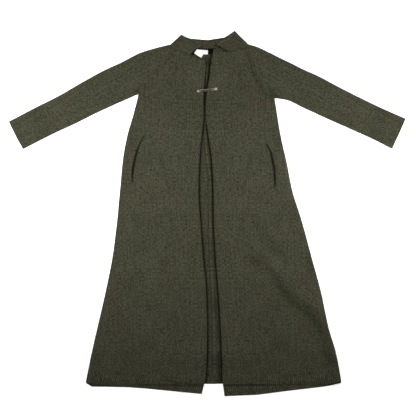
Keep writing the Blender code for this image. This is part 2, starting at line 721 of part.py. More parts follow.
def fold_section(seam, fold, back_seam, outward, seam_out, back_out, amount):
    """Lines of a folded tube: from the front seam over the upper layer, round the fold and back below."""
    seam_in, back_in = seam - seam_out * FOLD_INSET, back_seam - back_out * FOLD_INSET
    fold_in = fold - outward * FOLD_INSET
    front_at = np.linspace(0, 1, ARM_FRONT_STEPS + 1)[:, None]
    front_plan = seam_in[:, None] + (fold_in - seam_in)[:, None] * front_at
    front_flat = np.concatenate([front_plan, high_mid(front_plan)[..., None]], axis=-1)
    back_at = np.linspace(0, 1, ARM_BACK_STEPS + 1)[:, None]
    back_plan = fold_in[:, None] + (back_in - fold_in)[:, None] * back_at
    back_flat = np.concatenate([back_plan, np.full((*back_plan.shape[:-1], 1), LOW_MID)], axis=-1)
    up, down = np.zeros_like(front_flat), np.zeros_like(back_flat)
    up[..., 2], down[..., 2] = 1.0, -1.0
    angles = np.linspace(0, math.pi, FOLD_STEPS + 1)[1:-1]
    low = np.full(len(seam), LOW_MID)
    turned = bend_turn(front_flat[:, -1, 2], low, fold_in, outward, angles)
    first = curl(seam, seam_in, seam_out, front_flat[:, 0, 2], amount)
    last = curl(back_seam, back_in, back_out, low, amount)
    mid = np.concatenate([first[0], front_flat, turned[0], back_flat, last[0][:, ::-1]], axis=1)
    normal = np.concatenate([first[1], up, turned[1], down, last[1][:, ::-1]], axis=1)
    return mid, normal


def neck_fold_outward(side):
    """Direction between the sleeve's top edge and the collar's side fold, where the two meet."""
    tops = columns(YOKE[side], "top_x", "top_y")
    sleeve = outward_of(tops[:2], side)[0]
    return unit(sleeve + collar_fold_outward(side))


def collar_fold_outward(side):
    """Direction away from the coat along the collar's side fold."""
    fold = unit(np.array(COLLAR_TOP[side]["fold"], float) - np.array(YOKE[side][0][4:6], float))
    return TURN[side] * np.array([fold[1], -fold[0]])


def neck_side(side):
    """The seam between the collar and a sleeve: front seam, fold and back seam points at the neck."""
    row = YOKE[side][0]
    seam, fold, back_seam = (np.array([row[k:k + 2]], float) for k in (2, 4, 6))
    outward = neck_fold_outward(side)[None]
    return seam, fold, back_seam, outward, unit(seam - fold), unit(back_seam - fold)


def sleeve(side):
    """A raglan sleeve: from the neck over the shoulder to the cuff, closed under the arm by its seam."""
    high = yoke_levels(side)
    seam = at_levels(YOKE[side], "edge_y", "seam_x", "seam_y", high)
    fold = at_levels(YOKE[side], "edge_y", "top_x", "top_y", high)
    back_seam = at_levels(YOKE[side], "edge_y", "back_x", "back_y", high)
    rows = len(ARM[side])
    stations = np.concatenate([[0.1, 0.25], np.arange(1, 2 * rows - 1) / 2])
    stops = np.arange(rows)
    tops, unders = columns(ARM[side], "top_x", "top_y"), columns(ARM[side], "under_x", "under_y")
    arm_top = np.stack([smooth(stops, tops[:, k], stations) for k in (0, 1)], axis=-1)
    arm_under = np.stack([smooth(stops, unders[:, k], stations) for k in (0, 1)], axis=-1)
    fold = np.vstack([fold, arm_top])
    seam = np.vstack([seam, arm_under])
    back_seam = np.vstack([back_seam, arm_under])
    amount = np.concatenate([np.zeros(len(high)), np.ones(len(stations))])
    outward = outward_of(fold, side)
    outward[0] = neck_fold_outward(side)
    under_out = -outward_of(seam, side)
    under_out[len(high):] = -outward_of(seam[len(high) - 1:], side)[1:]
    share = amount[:, None]
    seam_out = unit((1 - share) * unit(seam - fold) + share * under_out)
    back_out = unit((1 - share) * unit(back_seam - fold) + share * under_out)
    mid, normal = fold_section(seam, fold, back_seam, outward, seam_out, back_out, amount)
    width = seam[-1] - fold[-1]
    across = np.clip((mid[-1, :, :2] - fold[-1]) @ width / (width @ width), 0, 1)
    mid[-1, :, :2] += (4 * across * (1 - across) * CUFF_BOW[side])[:, None] * unit(fold[-1] - fold[-2])
    for name in ("first_row", "first_column", "last_column"):
        draw_back(mid, name)
    return grid_wall(f"sleeve_{side}", mid, normal, material("knit", KNIT))


def collar():
    """The stand collar: one band, its front ends lying over its back half, folded at both sides."""
    rows_mid, rows_normal = [], []
    for row in range(COLLAR_ROWS + 1):
        t = row / COLLAR_ROWS
        halves = {}
        for side in SIDES:
            seam, fold, back_seam, outward, seam_out, back_out = neck_side(side)
            top = COLLAR_TOP[side]
            top_end, top_fold, top_back = (np.array(top[k], float) for k in ("end", "fold", "back"))
            front_part = np.linalg.norm(seam[0] - fold[0])
            top_front = top_fold + unit(top_end - top_fold) * front_part
            blend = min(1.0, 2 * t)
            outward = unit((1 - blend) * outward + blend * collar_fold_outward(side))
            section = fold_section(
                seam + t * (top_front - seam),
                fold + t * (top_fold - fold),
                back_seam + t * (top_back - back_seam),
                outward,
                unit((1 - t) * seam_out + t * unit(top_end - top_fold)),
                unit((1 - t) * back_out + t * unit(top_back - top_fold)),
                np.zeros(1),
            )
            run = top_end - np.array(NECK_BEND[side], float)
            bulge = TURN[side] * unit([run[1], -run[0]]) * COLLAR_END_BOW[side] * 4 * t * (1 - t)
            end = np.array(NECK_BEND[side], float) + t * run + bulge
            start = section[0][0, 0, :2]
            share = np.linspace(0, 1, COLLAR_END_STEPS + 1)[:-1, None]
            plan = end + (start - end) * share
            z = high_mid(plan)
            halves[side] = (plan, z, section, end)
        left, right = halves["left"], halves["right"]
        centre = np.array(CENTRE_BACK[0], float)
        centre = centre + t * (np.array(COLLAR_TOP_CENTRE, float) - centre)
        back_left, back_right = left[2][0][0, -1, :2], right[2][0][0, -1, :2]
        share = np.linspace(0, 1, COLLAR_BACK_STEPS // 2 + 1)[1:, None]
        left_half = back_left + (centre - back_left) * share
        right_half = centre + (back_right - centre) * share
        across = np.vstack([left_half, right_half])[:-1]
        back_part = np.column_stack([across, np.full(len(across), LOW_MID)])
        pieces, ups = [], []
        for side, (plan, z, section, end) in halves.items():
            upper = section[0][0, :CURL_STEPS + ARM_FRONT_STEPS + 1, :2]
            from_end = np.linalg.norm(np.vstack([plan, upper]) - end, axis=-1)
            tip = t * COLLAR_TIP_LIFT[side] * np.maximum(1 - from_end / COLLAR_TIP_RUN, 0) ** 2
            flat = np.column_stack([plan, z + tip[:len(plan)]])
            folded = section[0][0].copy()
            folded[:len(upper), 2] += tip[len(plan):]
            line = np.vstack([flat, folded])
            up = np.vstack([np.tile([0.0, 0.0, 1.0], (len(flat), 1)), section[1][0]])
            pieces.append(line if side == "left" else line[::-1])
            ups.append(up if side == "left" else up[::-1])
        rows_mid.append(np.vstack([pieces[0], back_part, pieces[1]]))
        rows_normal.append(np.vstack([ups[0], np.tile([0.0, 0.0, -1.0], (len(back_part), 1)), ups[1]]))
    mid, normal = np.array(rows_mid), np.array(rows_normal)
    draw_back(mid, "first_row")
    return grid_wall("collar", mid, normal, material("knit", KNIT))


def plate(name, outline, base, thick, finish):
    """A flat piece of even thickness with the given outline."""
    count = len(outline)
    low = np.column_stack([outline, np.full(count, base)])
    high = np.column_stack([outline, np.full(count, base + thick)])
    faces = [list(range(count)), [count + i for i in reversed(range(count))]]
    for i in range(count):
        following = (i + 1) % count
        faces.append([i, following, count + following, count + i])
    return add_object(name, np.vstack([low, high]), faces, finish)


def rounded(corners, radius, steps=4):
    """A polygon's outline with its corners rounded."""
    corners = np.asarray(corners, float)
    points = []
    for before, corner, after in zip(np.roll(corners, 1, axis=0), corners, np.roll(corners, -1, axis=0)):
        start = corner + unit(before - corner) * radius
        end = corner + unit(after - corner) * radius
        for t in np.linspace(0, 1, steps + 1):
            points.append((1 - t) ** 2 * start + 2 * t * (1 - t) * corner + t**2 * end)
    return np.array(points)


def pocket_bag(side):
    """The layer of a pocket's bag that shows through its slit."""
    slit = np.array(POCKET[side], float)
    inward = -TURN[side]
    top = slit[0] + [-inward * BAG_OVERLAP, BAG_ABOVE]
    outer = [top] + [p + [-inward * BAG_OVERLAP, 0] for p in slit[1:]]
    low_y = slit[-1, 1] - BAG_BELOW
    corners = outer + [
        np.array([slit[-1, 0] - inward * BAG_OVERLAP / 2, low_y]),
        np.array([slit[-1, 0] + inward * BAG_DEPTH, low_y]),
        np.array([slit[0, 0] + inward * (BAG_DEPTH - 30), slit[0, 1] + BAG_ABOVE]),
    ]
    outline = rounded(corners, BAG_CORNER, steps=2)
    return plate(f"pocket_bag_{side}", outline, BAG_HEIGHT, BAG_THICK, material("bag_knit", BAG_KNIT))


def neck_tape():
    """The tape over the back neck seam."""
    line = np.array(TAPE_LINE, float)
    x = np.linspace(line[0, 0], line[-1, 0], 9)
    y = smooth(line[:, 0], line[:, 1], x)
    middle = np.stack([x, y], axis=-1)
    along = unit(np.gradient(middle, axis=0))
    side = np.stack([-along[:, 1], along[:, 0]], axis=-1) * TAPE_WIDTH / 2
    outline = np.vstack([middle - side, (middle + side)[::-1]])
    return plate("neck_tape", outline, TAPE_HEIGHT, TAPE_THICK, material("tape", TAPE_BLACK, 0.6))


def label(name):
    """A bare woven label."""
    size = LABELS[name]
    turn = math.radians(size.turn)
    along, up = np.array([math.cos(turn), math.sin(turn)]), np.array([-math.sin(turn), math.cos(turn)])
    corners = [
        np.array([size.x, size.y]) + a * along * size.width / 2 + b * up * size.height / 2
        for a, b in ((-1, -1), (1, -1), (1, 1), (-1, 1))
    ]
    outline = rounded(corners, LABEL_CORNER, 3)
    return plate(name, outline, size.base, size.thick, material("label", LABEL_WHITE, 0.7))


def pin_point(along, side, z):
    """A place on the pin, from its coil towards its cap, in the coat's frame."""
    x = PIN_COIL.x + along * math.cos(PIN_TILT) - side * math.sin(PIN_TILT)
    y = PIN_COIL.y + along * math.sin(PIN_TILT) + side * math.cos(PIN_TILT)
    return np.array([x, y, z])


def cloth_top(along, side):
    """Height of the fronts' upper face under a place on the pin."""
    return float(high_mid(pin_point(along, side, 0)[None, :2])[0]) + CLOTH / 2


def cap_height():
    """Height of the middle of the pin's cap, which lies on the right front."""
    length, width, height = PIN_CAP
    under = [
        cloth_top(PIN_LENGTH + 2 - a, s)
        for a in (0, length / 2, length) for s in (-width / 2, 0, width / 2)
    ]
    return max(under) + SEAM_GAP + height / 2


def pin_wire():
    """The pin's wire: bar, one and a half turns of coil, and the needle under both front edges."""
    radius, cap_z = PIN_HALF_SPREAD, cap_height()
    clear = SEAM_GAP + PIN_WIRE / 2
    reach = (-radius, 0, radius)
    coil_low = max(cloth_top(a, s) for a in reach for s in reach) + clear + 0.1
    path = [
        pin_point(PIN_LENGTH - 2, radius, cap_z),
        pin_point(PIN_LENGTH - 12, radius, cap_z),
    ]
    for step in range(COIL_STEPS + 1):
        turns = step / COIL_STEPS * COIL_TURNS
        angle = math.pi / 2 + turns * 2 * math.pi
        drop = (COIL_TURNS - turns) * (PIN_WIRE + COIL_AIR)
        path.append(pin_point(radius * math.cos(angle), radius * math.sin(angle), coil_low + drop))
    needle = (
        (7.5, coil_low), (9.0, coil_low - 0.5), (13.6, NEEDLE_HEIGHT + 0.3), (15.5, NEEDLE_HEIGHT),
        (44.5, NEEDLE_HEIGHT), (46.0, NEEDLE_HEIGHT + 0.4), (52.0, cap_z - 1.0),
        (54.5, cap_z - 0.2), (57.0, cap_z), (PIN_LENGTH - 3, cap_z),
    )
    path += [pin_point(along, -radius, z) for along, z in needle]
    curve = bpy.data.curves.new("pin_wire", "CURVE")
    curve.dimensions = "3D"
    curve.bevel_depth = PIN_WIRE / 2 * MM
    curve.bevel_resolution = 2
    curve.use_fill_caps = True
    spline = curve.splines.new("POLY")
    spline.points.add(len(path) - 1)
    for point, place in zip(spline.points, path):
        point.co = (*(place * MM), 1.0)
    curve.materials.append(material("silver", SILVER, 0.25, 1.0))
    made = bpy.data.objects.new("pin_wire", curve)
    bpy.context.scene.collection.objects.link(made)
    return made


def pin_cap():
    """The pin's cap: a pressed pouch, open towards the coil, that takes the bar's and the needle's ends."""
    length, width, height = PIN_CAP
    wall = PIN_CAP_WALL
    back_wall = 1.2
    start, cap_z = PIN_LENGTH - length + 2, cap_height()

    def ring(along, half_width, half_height):
        corner = min(half_height, half_width) * 0.6
        outline = rounded(
            [(-half_width, -half_height), (half_width, -half_height),
             (half_width, half_height), (-half_width, half_height)],
            corner, 3,
        )
        return [pin_point(along, s, cap_z + h) for s, h in outline]

    rings = [
        ring(start + length - back_wall, width / 2 - wall, height / 2 - wall),
        ring(start, width / 2 - wall, height / 2 - wall),
        ring(start, width / 2, height / 2),
        ring(start + length - 1.0, width / 2, height / 2),
        ring(start + length, width / 2 - 0.8, height / 2 - 0.8),
    ]
    count = len(rings[0])
    faces = [list(range(count)), [4 * count + i for i in reversed(range(count))]]
    for r in range(len(rings) - 1):
        for i in range(count):
            following = (i + 1) % count
            low, high = r * count, (r + 1) * count
            faces.append([low + i, low + following, high + following, high + i])
    return add_object("pin_cap", np.vstack(rings), faces, material("silver", SILVER, 0.25, 1.0))


def main():
    """Clears the scene and makes every piece of the coat."""
    for old in list(bpy.data.objects):
        bpy.data.objects.remove(old, do_unlink=True)
    for side in SIDES:
        back(side)
        front(side)
        hem_band(side)
        sleeve(side)
        pocket_bag(side)
    hem_back()
    collar()
    neck_tape()
    for name in LABELS:
        label(name)
    pin_wire()
    pin_cap()


main()
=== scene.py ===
"""Long knit coat laid flat, face up: fine cloth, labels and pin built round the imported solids.

Sizes in the tables are millimetres in the solids' frame: +X is the viewer's right, +Y points to
the collar and +Z up from the surface. Meshes are made in metres.
"""
import logging
import math
from dataclasses import dataclass
from enum import Enum
from typing import NamedTuple, Sequence

import bpy
import numpy as np
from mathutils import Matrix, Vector


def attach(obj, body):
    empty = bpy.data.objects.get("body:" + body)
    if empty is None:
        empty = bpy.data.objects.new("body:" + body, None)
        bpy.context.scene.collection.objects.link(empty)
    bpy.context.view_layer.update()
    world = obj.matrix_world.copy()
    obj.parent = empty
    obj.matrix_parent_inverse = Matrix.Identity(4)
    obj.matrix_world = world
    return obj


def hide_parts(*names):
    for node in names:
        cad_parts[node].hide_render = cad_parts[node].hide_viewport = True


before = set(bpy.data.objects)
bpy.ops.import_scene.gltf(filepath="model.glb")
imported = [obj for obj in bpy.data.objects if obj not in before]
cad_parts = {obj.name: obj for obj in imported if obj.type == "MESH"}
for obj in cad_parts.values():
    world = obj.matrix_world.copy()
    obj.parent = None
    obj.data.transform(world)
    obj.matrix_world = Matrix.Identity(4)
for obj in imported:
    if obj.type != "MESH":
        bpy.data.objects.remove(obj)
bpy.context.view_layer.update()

log = logging.getLogger("coat")
Array = np.ndarray
Piece = bpy.types.Object
Socket = bpy.types.NodeSocket
Material = bpy.types.Material
MM = 0.001


class Side(Enum):
    """A side of the coat as the viewer sees it, with the sign of x on that side."""

    LEFT = -1.0
    RIGHT = 1.0

    @property
    def word(self) -> str:
        """The side's name as pieces use it."""
        return self.name.lower()


class Finish(Enum):
    """A finish of the coat, with the record's slot for it."""

    KNIT = "knit"
    RIB = "rib_knit"
    BAG = "bag_knit"
    TAPE = "tape"
    LABEL = "label"
    SILVER = "silver"


class Yoke(NamedTuple):
    """One line across the yoke: front edge, front raglan seam, sleeve fold and back raglan seam."""

    edge_x: float
    edge_y: float
    seam_x: float
    seam_y: float
    top_x: float
    top_y: float
    back_x: float
    back_y: float


class Skirt(NamedTuple):
    """One line across a front below the armpit, from the side seam to the front edge."""

    side_x: float
    side_y: float
    edge_x: float
    edge_y: float


class Arm(NamedTuple):
    """One line across a sleeve, from its folded top edge to its underarm seam."""

    top_x: float
    top_y: float
    under_x: float
    under_y: float


class Spot(NamedTuple):
    """A place seen from above."""

    x: float
    y: float


def spots(*numbers: float) -> tuple[Spot, ...]:
    """Places from their x and y in turn."""
    return tuple(Spot(x, y) for x, y in zip(numbers[::2], numbers[1::2]))


class Ridge(NamedTuple):
    """A soft ridge of the upper layer: a bowed line, its height and a half width on each side.

    The first half width is on the right of someone who walks the line; 0 as the second repeats it.
    """

    x1: float
    y1: float
    x2: float
    y2: float
    bow: float
    height: float
    width: float
    left_width: float = 0.0


class Groove(NamedTuple):
    """A sewn seam's groove: the dip of the outer face, the share of light lost to painted shade in it, and
    the half width.
    """

    dip: float
    dark: float
    reach: float


class Swell(NamedTuple):
    """Small uneven swells of the cloth: their height, shortest and longest wavelength, and seed."""

    height: float
    low: float
    high: float
    seed: int


class Streak(NamedTuple):
    """A soft streak of shade (below 0) or light (above 0) along a line, with its half width."""

    line: tuple[Spot, ...]
    tone: float
    width: float


YOKE = {
    Side.LEFT: (
        Yoke(-3, 536, -122, 579, -129, 591, -90, 571),
        Yoke(-5, 504, -138, 542, -169, 581, -118, 545),
        Yoke(-9, 459, -185, 481, -233, 562, -165, 498),
        Yoke(-11, 429, -215, 448, -270, 544, -203, 460),
        Yoke(-12, 403, -240, 417, -302, 527, -240, 417),
    ),
    Side.RIGHT: (
        Yoke(22, 576, 135, 579, 143, 592, 102, 572),
        Yoke(14, 535, 147, 542, 172, 583, 120, 545),
        Yoke(8, 480, 169, 480, 216, 563, 150, 495),
        Yoke(-1, 432, 200, 424, 260, 541, 196, 440),
        Yoke(-5, 403, 235, 403, 294, 525, 235, 403),
    ),
}
SKIRT = {
    Side.LEFT: (
        Skirt(-240, 417, -12, 403),
        Skirt(-256, 354, -12, 352),
        Skirt(-280, 270, -19, 270),
        Skirt(-295, 186, -27, 186),
        Skirt(-305, 81, -30, 81),
        Skirt(-315, -24, -24, -24),
        Skirt(-331, -150, -14, -150),
        Skirt(-356, -276, -3, -276),
        Skirt(-385, -402, 0, -402),
        Skirt(-404, -486, -1, -492),
        Skirt(-416, -545, -5, -575),
        Skirt(-425, -591, -19, -631),
    ),
    Side.RIGHT: (
        Skirt(235, 403, -5, 403),
        Skirt(243, 354, -6, 352),
        Skirt(257, 270, 4, 270),
        Skirt(276, 186, 16, 186),
        Skirt(297, 81, 21, 81),
        Skirt(330, -24, 23, -24),
        Skirt(364, -150, 29, -150),
        Skirt(398, -276, 39, -276),
        Skirt(425, -402, 47, -402),
        Skirt(450, -486, 51, -492),
        Skirt(461, -540, 53, -583),
        Skirt(469, -591, 60, -639),
    ),
}
ARM = {
    Side.LEFT: (
        Arm(-302, 527, -240, 417),
        Arm(-361, 500, -304, 389),
        Arm(-440, 457, -385, 352),
        Arm(-512, 415, -459, 315),
        Arm(-595, 373, -543, 276),
        Arm(-693, 322, -643, 225),
    ),
    Side.RIGHT: (
        Arm(294, 525, 235, 403),
        Arm(331, 506, 278, 396),
        Arm(389, 480, 337, 369),
        Arm(468, 438, 417, 332),
        Arm(552, 396, 503, 294),
        Arm(624, 362, 576, 261),
        Arm(693, 332, 645, 226),
    ),
}
CENTRE_BACK = (
    Spot(-1, 560), Spot(-6, 430), Spot(-6, 291), Spot(-3, 221),
    Spot(10, 116), Spot(11, -77), Spot(24, -409), Spot(25, -594),
)
BACK_HEM = (Spot(-425, -591), Spot(0, -596), Spot(469, -591))
NECK_BEND = {Side.LEFT: Spot(-59, 551), Side.RIGHT: Spot(76, 566)}
FRONT_HEM = {
    Side.LEFT: (
        Spot(-425, -591), Spot(-405, -605), Spot(-286, -607),
        Spot(-214, -612), Spot(-73, -626), Spot(-19, -631),
    ),
    Side.RIGHT: (
        Spot(469, -591), Spot(433, -601), Spot(402, -606),
        Spot(284, -620), Spot(174, -634), Spot(60, -639),
    ),
}
POCKET = {
    Side.LEFT: (
        Spot(-221, 270), Spot(-234, 247), Spot(-244, 221), Spot(-252, 193),
        Spot(-258, 165), Spot(-262, 133), Spot(-261, 112),
    ),
    Side.RIGHT: (
        Spot(207, 242), Spot(221, 217), Spot(228, 186),
        Spot(235, 151), Spot(236, 112), Spot(234, 91),
    ),
}
COLLAR_TOP = {
    Side.LEFT: {"end": Spot(-20, 581), "fold": Spot(-90, 626), "back": Spot(-60, 612)},
    Side.RIGHT: {"end": Spot(32, 590), "fold": Spot(96, 639), "back": Spot(60, 616)},
}
COLLAR_TOP_CENTRE = Spot(2, 607)
END_BOW = {Side.LEFT: 7.0, Side.RIGHT: 0.0}  # of the collar's free ends
CUFF_BOW = {Side.LEFT: 2.0, Side.RIGHT: 1.0}
RIDGES = (
    Ridge(-50, 552, -10, 548, 0, 2.0, 26),
    Ridge(205, -140, 391, -333, -22, 8.4, 17, 50),
    Ridge(405, -357, 446, -500, -8, 6.4, 16, 36),
    Ridge(190, -10, 290, -110, -10, 2.4, 26),
    Ridge(120, -230, 165, -590, 6, 1.9, 34),
    Ridge(290, -420, 318, -600, 0, 1.8, 30),
    Ridge(-330, -260, -368, -570, 8, 2.0, 36),
    Ridge(-205, -120, -236, -560, 10, 2.0, 34),
    Ridge(-90, -300, -110, -600, 0, 1.6, 30),
    Ridge(-262, 60, -280, -120, 8, 1.6, 26),
    Ridge(-170, 360, -215, 250, 6, 1.6, 24),
    Ridge(150, 350, 205, 265, 6, 1.6, 24),
    Ridge(-160, 470, -190, 400, 4, 1.5, 20),
    Ridge(150, 470, 195, 400, 4, 1.5, 20),
    Ridge(-420, 420, -350, 440, 4, 1.4, 18),
    Ridge(-560, 345, -490, 372, 4, 1.2, 18),
    Ridge(395, 405, 470, 400, 4, 1.4, 18),
    Ridge(520, 350, 590, 325, 4, 1.2, 18),
    Ridge(-214, 262, -246, 120, 8, 1.9, 12),
    Ridge(203, 236, 224, 96, -8, 1.9, 12),
    Ridge(-545, 368, -512, 316, 0, 1.5, 8),
)
SKIRT_VALLEY = (
    Spot(157, -156), Spot(206, -184), Spot(241, -240), Spot(297, -306),
    Spot(363, -359), Spot(398, -404), Spot(416, -457), Spot(423, -520),
)
# Painted shade and light on the cloth: shade in fold valleys, creases and armpits, highlights on crests and
# edges.
STREAKS = (
    Streak(SKIRT_VALLEY, -0.18, 18),
    Streak(SKIRT_VALLEY[2:6], -0.13, 11),
    Streak(spots(237, -170, 325, -268, 380, -312), 0.12, 17),
    Streak(spots(385, -262, 404, -338), 0.14, 12),
    Streak(spots(167, -30, 227, -110, 279, -170), -0.12, 13),
    Streak(spots(200, -20, 255, -90), 0.05, 14),
    Streak(spots(262, 200, 274, 117, 292, 47), 0.1, 13),
    Streak(spots(255, 300, 269, 200, 287, 110, 308, 30), 0.24, 6),
    Streak(spots(255, 47, 262, 20), -0.07, 26),
    Streak(spots(-218, 299, -120, 287, -25, 290), 0.1, 6),
    Streak(spots(-110, 430, -60, 370, 60, 370, 120, 430), -0.08, 70),
    Streak(spots(200, 400, 165, 440), -0.07, 40),
    Streak(spots(-190, 440, -200, 400), -0.05, 34),
    Streak(spots(141, 560, 164, 478, 196, 424, 230, 405), -0.2, 9),
    Streak(spots(-118, 570, -132, 538, -177, 478, -231, 417), -0.1, 8),
    Streak(spots(-254, 423, -240, 432), -0.4, 6),
    Streak(spots(215, 438, 230, 420, 243, 412), -0.3, 6),
    Streak(spots(-550, 367, -536, 349, -521, 330), -0.17, 3.5),
    Streak(spots(-14, -597, -75, -592, -134, -585), -0.42, 2.8),
    Streak(spots(66, -599, 196, -598), -0.45, 2.4),
    Streak(spots(196, -598, 262, -596), -0.2, 2.4),
    Streak(spots(-491, 326, -447, 346), 0.14, 11),
    Streak(spots(-281, -467, -262, -537), -0.09, 42),
    Streak(spots(-141, -313, -120, -360), -0.06, 36),
    Streak(spots(209, -302, 228, -477), -0.06, 38),
    Streak(spots(112, -420, 120, -450), 0.07, 30),
    Streak(spots(-26, 588, -56, 610), 0.4, 4.5),
    Streak(spots(38, 591, 84, 622), 0.3, 5),
    Streak(spots(64, 615, 88, 633), -0.45, 3),
    Streak(spots(-60, 611, 2, 605.5, 60, 615), -0.6, 3.4),
    Streak(spots(27, 589, 52, 577, 74, 565), -0.42, 3),
    Streak(spots(30, 568, 62, 566), -0.28, 2.8),
    Streak(spots(24, 556, 62, 556), 0.12, 3),
    Streak(spots(100, 590, 120, 575), -0.1, 16),
    Streak(spots(-100, 600, -112, 588), -0.1, 12),
)
# Seam grooves; their dark share is painted shade along the seam.
PANEL_SEAM = Groove(0.35, 0.05, 6.0)
NECK_SEAM = Groove(0.7, 0.22, 4.0)
BAND_SIDE_SEAM = Groove(0.7, 0.2, 2.6)
FLUSH_SEAM = Groove(0.0, 0.0, 2.6)
BACK_SEAM = Groove(0.0, 0.45, 3.0)
BACK_BAND_SEAM = Groove(0.0, 0.3, 3.0)
# Painted shade on the back where it shows between the fronts.
GAP_STREAKS = (
    Streak(spots(7, 540, 2, 440), -0.38, 7),
    Streak(spots(26, -300, 39, -400, 44, -450), -0.25, 7),
    Streak(spots(40, -490, 43, -545, 46, -590), -0.5, 7),
    Streak(spots(0, -560, 40, -592), -0.2, 14),
)
BAND_TOP = -540.0  # height of the seam above the back's hem band
RIDGE_RISE = 1.2  # height of the centre-back seam's allowances
RIDGE_STEPS = (7.4, 6.6, 6.0, 5.4, 4.6, 3.4, 2.0, 1.0, 0.0)  # columns on them, from the seam
EDGE_SHADOW = {Side.LEFT: (0.92, 6.0), Side.RIGHT: (0.97, 6.4)}  # of a front on the back: light lost, reach
SEAM_SHADOW = {Side.LEFT: 0.36, Side.RIGHT: 0.14}  # light lost beside the centre-back ridge
SLIT_WIDEST = {Side.LEFT: 1.5, Side.RIGHT: 0.68}  # above 1: a pocket slit is widest in its lower half
TAPE_LINE = (Spot(-92, 566), Spot(-45, 565), Spot(30, 568))


def unit(vectors: Array) -> Array:
    """The same directions with length 1."""
    vectors = np.asarray(vectors, float)
    return vectors / np.maximum(np.linalg.norm(vectors, axis=-1, keepdims=True), 1e-9)


def smooth(stops: Sequence[float], values: Sequence[float], at: Array) -> Array:
    """A curve through a table's values that doesn't swing past them.

    Each stretch is a cubic whose end slopes are the harmonic means of the slopes beside them.

    Args:
        stops: places of the values, rising.
        values: the values there.
        at: places to read.

    Returns:
        The curve's values at those places.
    """
    stops, values = np.asarray(stops, float), np.asarray(values, float)
    run = np.diff(stops)
    slope = np.diff(values) / run
    tangent = np.zeros(len(values))
    tangent[0], tangent[-1] = slope[0], slope[-1]
    same_way = slope[1:] * slope[:-1] > 0
    pair_sum = np.where(same_way, slope[1:] + slope[:-1], 1.0)
    tangent[1:-1] = np.where(same_way, 2 * slope[1:] * slope[:-1] / pair_sum, 0.0)
    at = np.asarray(at, float)
    k = np.clip(np.searchsorted(stops, at) - 1, 0, len(run) - 1)
    t = (at - stops[k]) / run[k]
    return (
        values[k] * (1 + 2 * t) * (1 - t) ** 2
        + tangent[k] * run[k] * t * (1 - t) ** 2
        + values[k + 1] * t**2 * (3 - 2 * t)
        - tangent[k + 1] * run[k] * t**2 * (1 - t)
    )


def columns(table: Sequence[NamedTuple], x_name: str, y_name: str) -> Array:
    """Two named columns of a table, as points."""
    return np.array([[getattr(row, x_name), getattr(row, y_name)] for row in table], float)


def at_levels(table: Sequence[NamedTuple], x_name: str, y_name: str, levels: Array) -> Array:
    """Points of two named columns at stated front-edge heights.

    Args:
        table: rows whose edge_y falls down the table.
        x_name: name of the column of x.
        y_name: name of the column of y.
        levels: front-edge heights.

    Returns:
        One point per level.
    """
    stops = [-row.edge_y for row in table]
    points = columns(table, x_name, y_name)
    return np.stack([smooth(stops, points[:, k], -np.asarray(levels)) for k in (0, 1)], axis=-1)


def outward_of(points: Array, side: Side) -> Array:
    """Directions that point away from the coat, square to a line that runs away from the neck."""
    along = unit(np.gradient(points, axis=0))
    return side.value * np.stack([-along[:, 1], along[:, 0]], axis=-1)


def outward_past_armpit(seam: Array, pit: int, side: Side) -> Array:
    """Directions away from the coat along a seam that turns sharply at the armpit.

    Args:
        seam: the seam's points, from the neck on.
        pit: number of points down to the armpit's.
        side: the coat's side.

    Returns:
        One direction per point; those past the armpit don't look back round its corner.
    """
    outward = outward_of(seam, side)
    outward[pit:] = outward_of(seam[pit - 1:], side)[1:]
    return outward


def panel_outward(seam: Array, across: Array, amount: Array, pit: int, side: Side) -> Array:
    """Directions in which a panel's rows run out to its seam.

    Args:
        seam: the seam's points, one per row.
        across: directions along the rows.
        amount: 0 for a row that stays flat and 1 for one that curls to its seam.
        pit: number of rows down to the armpit's.
        side: the coat's side.

    Returns:
        Along the row where it stays flat and in the last row, and square to the seam elsewhere.
    """
    keep = amount[:, None]
    outward = unit((1 - keep) * across + keep * outward_past_armpit(seam, pit, side))
    outward[-1] = across[-1]
    return outward


def through(points: Array, stations: Array) -> Array:
    """Places on a smooth line through points, at stations counted in points."""
    stops = np.arange(len(points))
    return np.stack([smooth(stops, points[:, k], stations) for k in (0, 1)], axis=-1)


def divide(stops: Sequence[float], step: float) -> Array:
    """Every stop, with even places between them no further apart than a step.

    Args:
        stops: places that are kept.
        step: the widest gap that is left.

    Returns:
        The places in order.
    """
    pieces = [
        np.linspace(a, b, max(1, math.ceil(abs(b - a) / step)) + 1)[:-1]
        for a, b in zip(stops[:-1], stops[1:])
    ]
    return np.concatenate([*pieces, [stops[-1]]])


def blend_in(levels: Array, start: float, full: float) -> Array:
    """0 at the start level and 1 from the full level on, for levels that fall."""
    return np.clip((start - np.asarray(levels, float)) / (start - full), 0, 1)


def ease(t: Array) -> Array:
    """0 to 1 with level ends, as three times t squared less two times t cubed."""
    t = np.clip(t, 0, 1)
    return t * t * (3 - 2 * t)


def bow(points: Sequence[Spot], x: Array) -> Array:
    """How far a bent edge is from the straight line between its ends.

    Args:
        points: the bent edge, seen from above.
        x: places along it.

    Returns:
        The difference in y at those places.
    """
    line = np.asarray(points, float)
    line = line[np.argsort(line[:, 0])]
    straight = np.interp(line[:, 0], line[[0, -1], 0], line[[0, -1], 1])
    return np.interp(x, line[:, 0], line[:, 1] - straight)


def distance_to_lines(points: Array, lines: Sequence[Array]) -> Array:
    """Distance from each point to the nearest of several polylines.

    Args:
        points: places, with x and y last.
        lines: polylines.

    Returns:
        The least distance to any stretch of any line.
    """
    best = np.full(points.shape[:-1], np.inf)
    for line in lines:
        for start, end in zip(line[:-1], line[1:]):
            run = end - start
            t = np.clip(((points - start) @ run) / (run @ run), 0, 1)
            best = np.minimum(best, np.linalg.norm(points - start - t[..., None] * run, axis=-1))
    return best


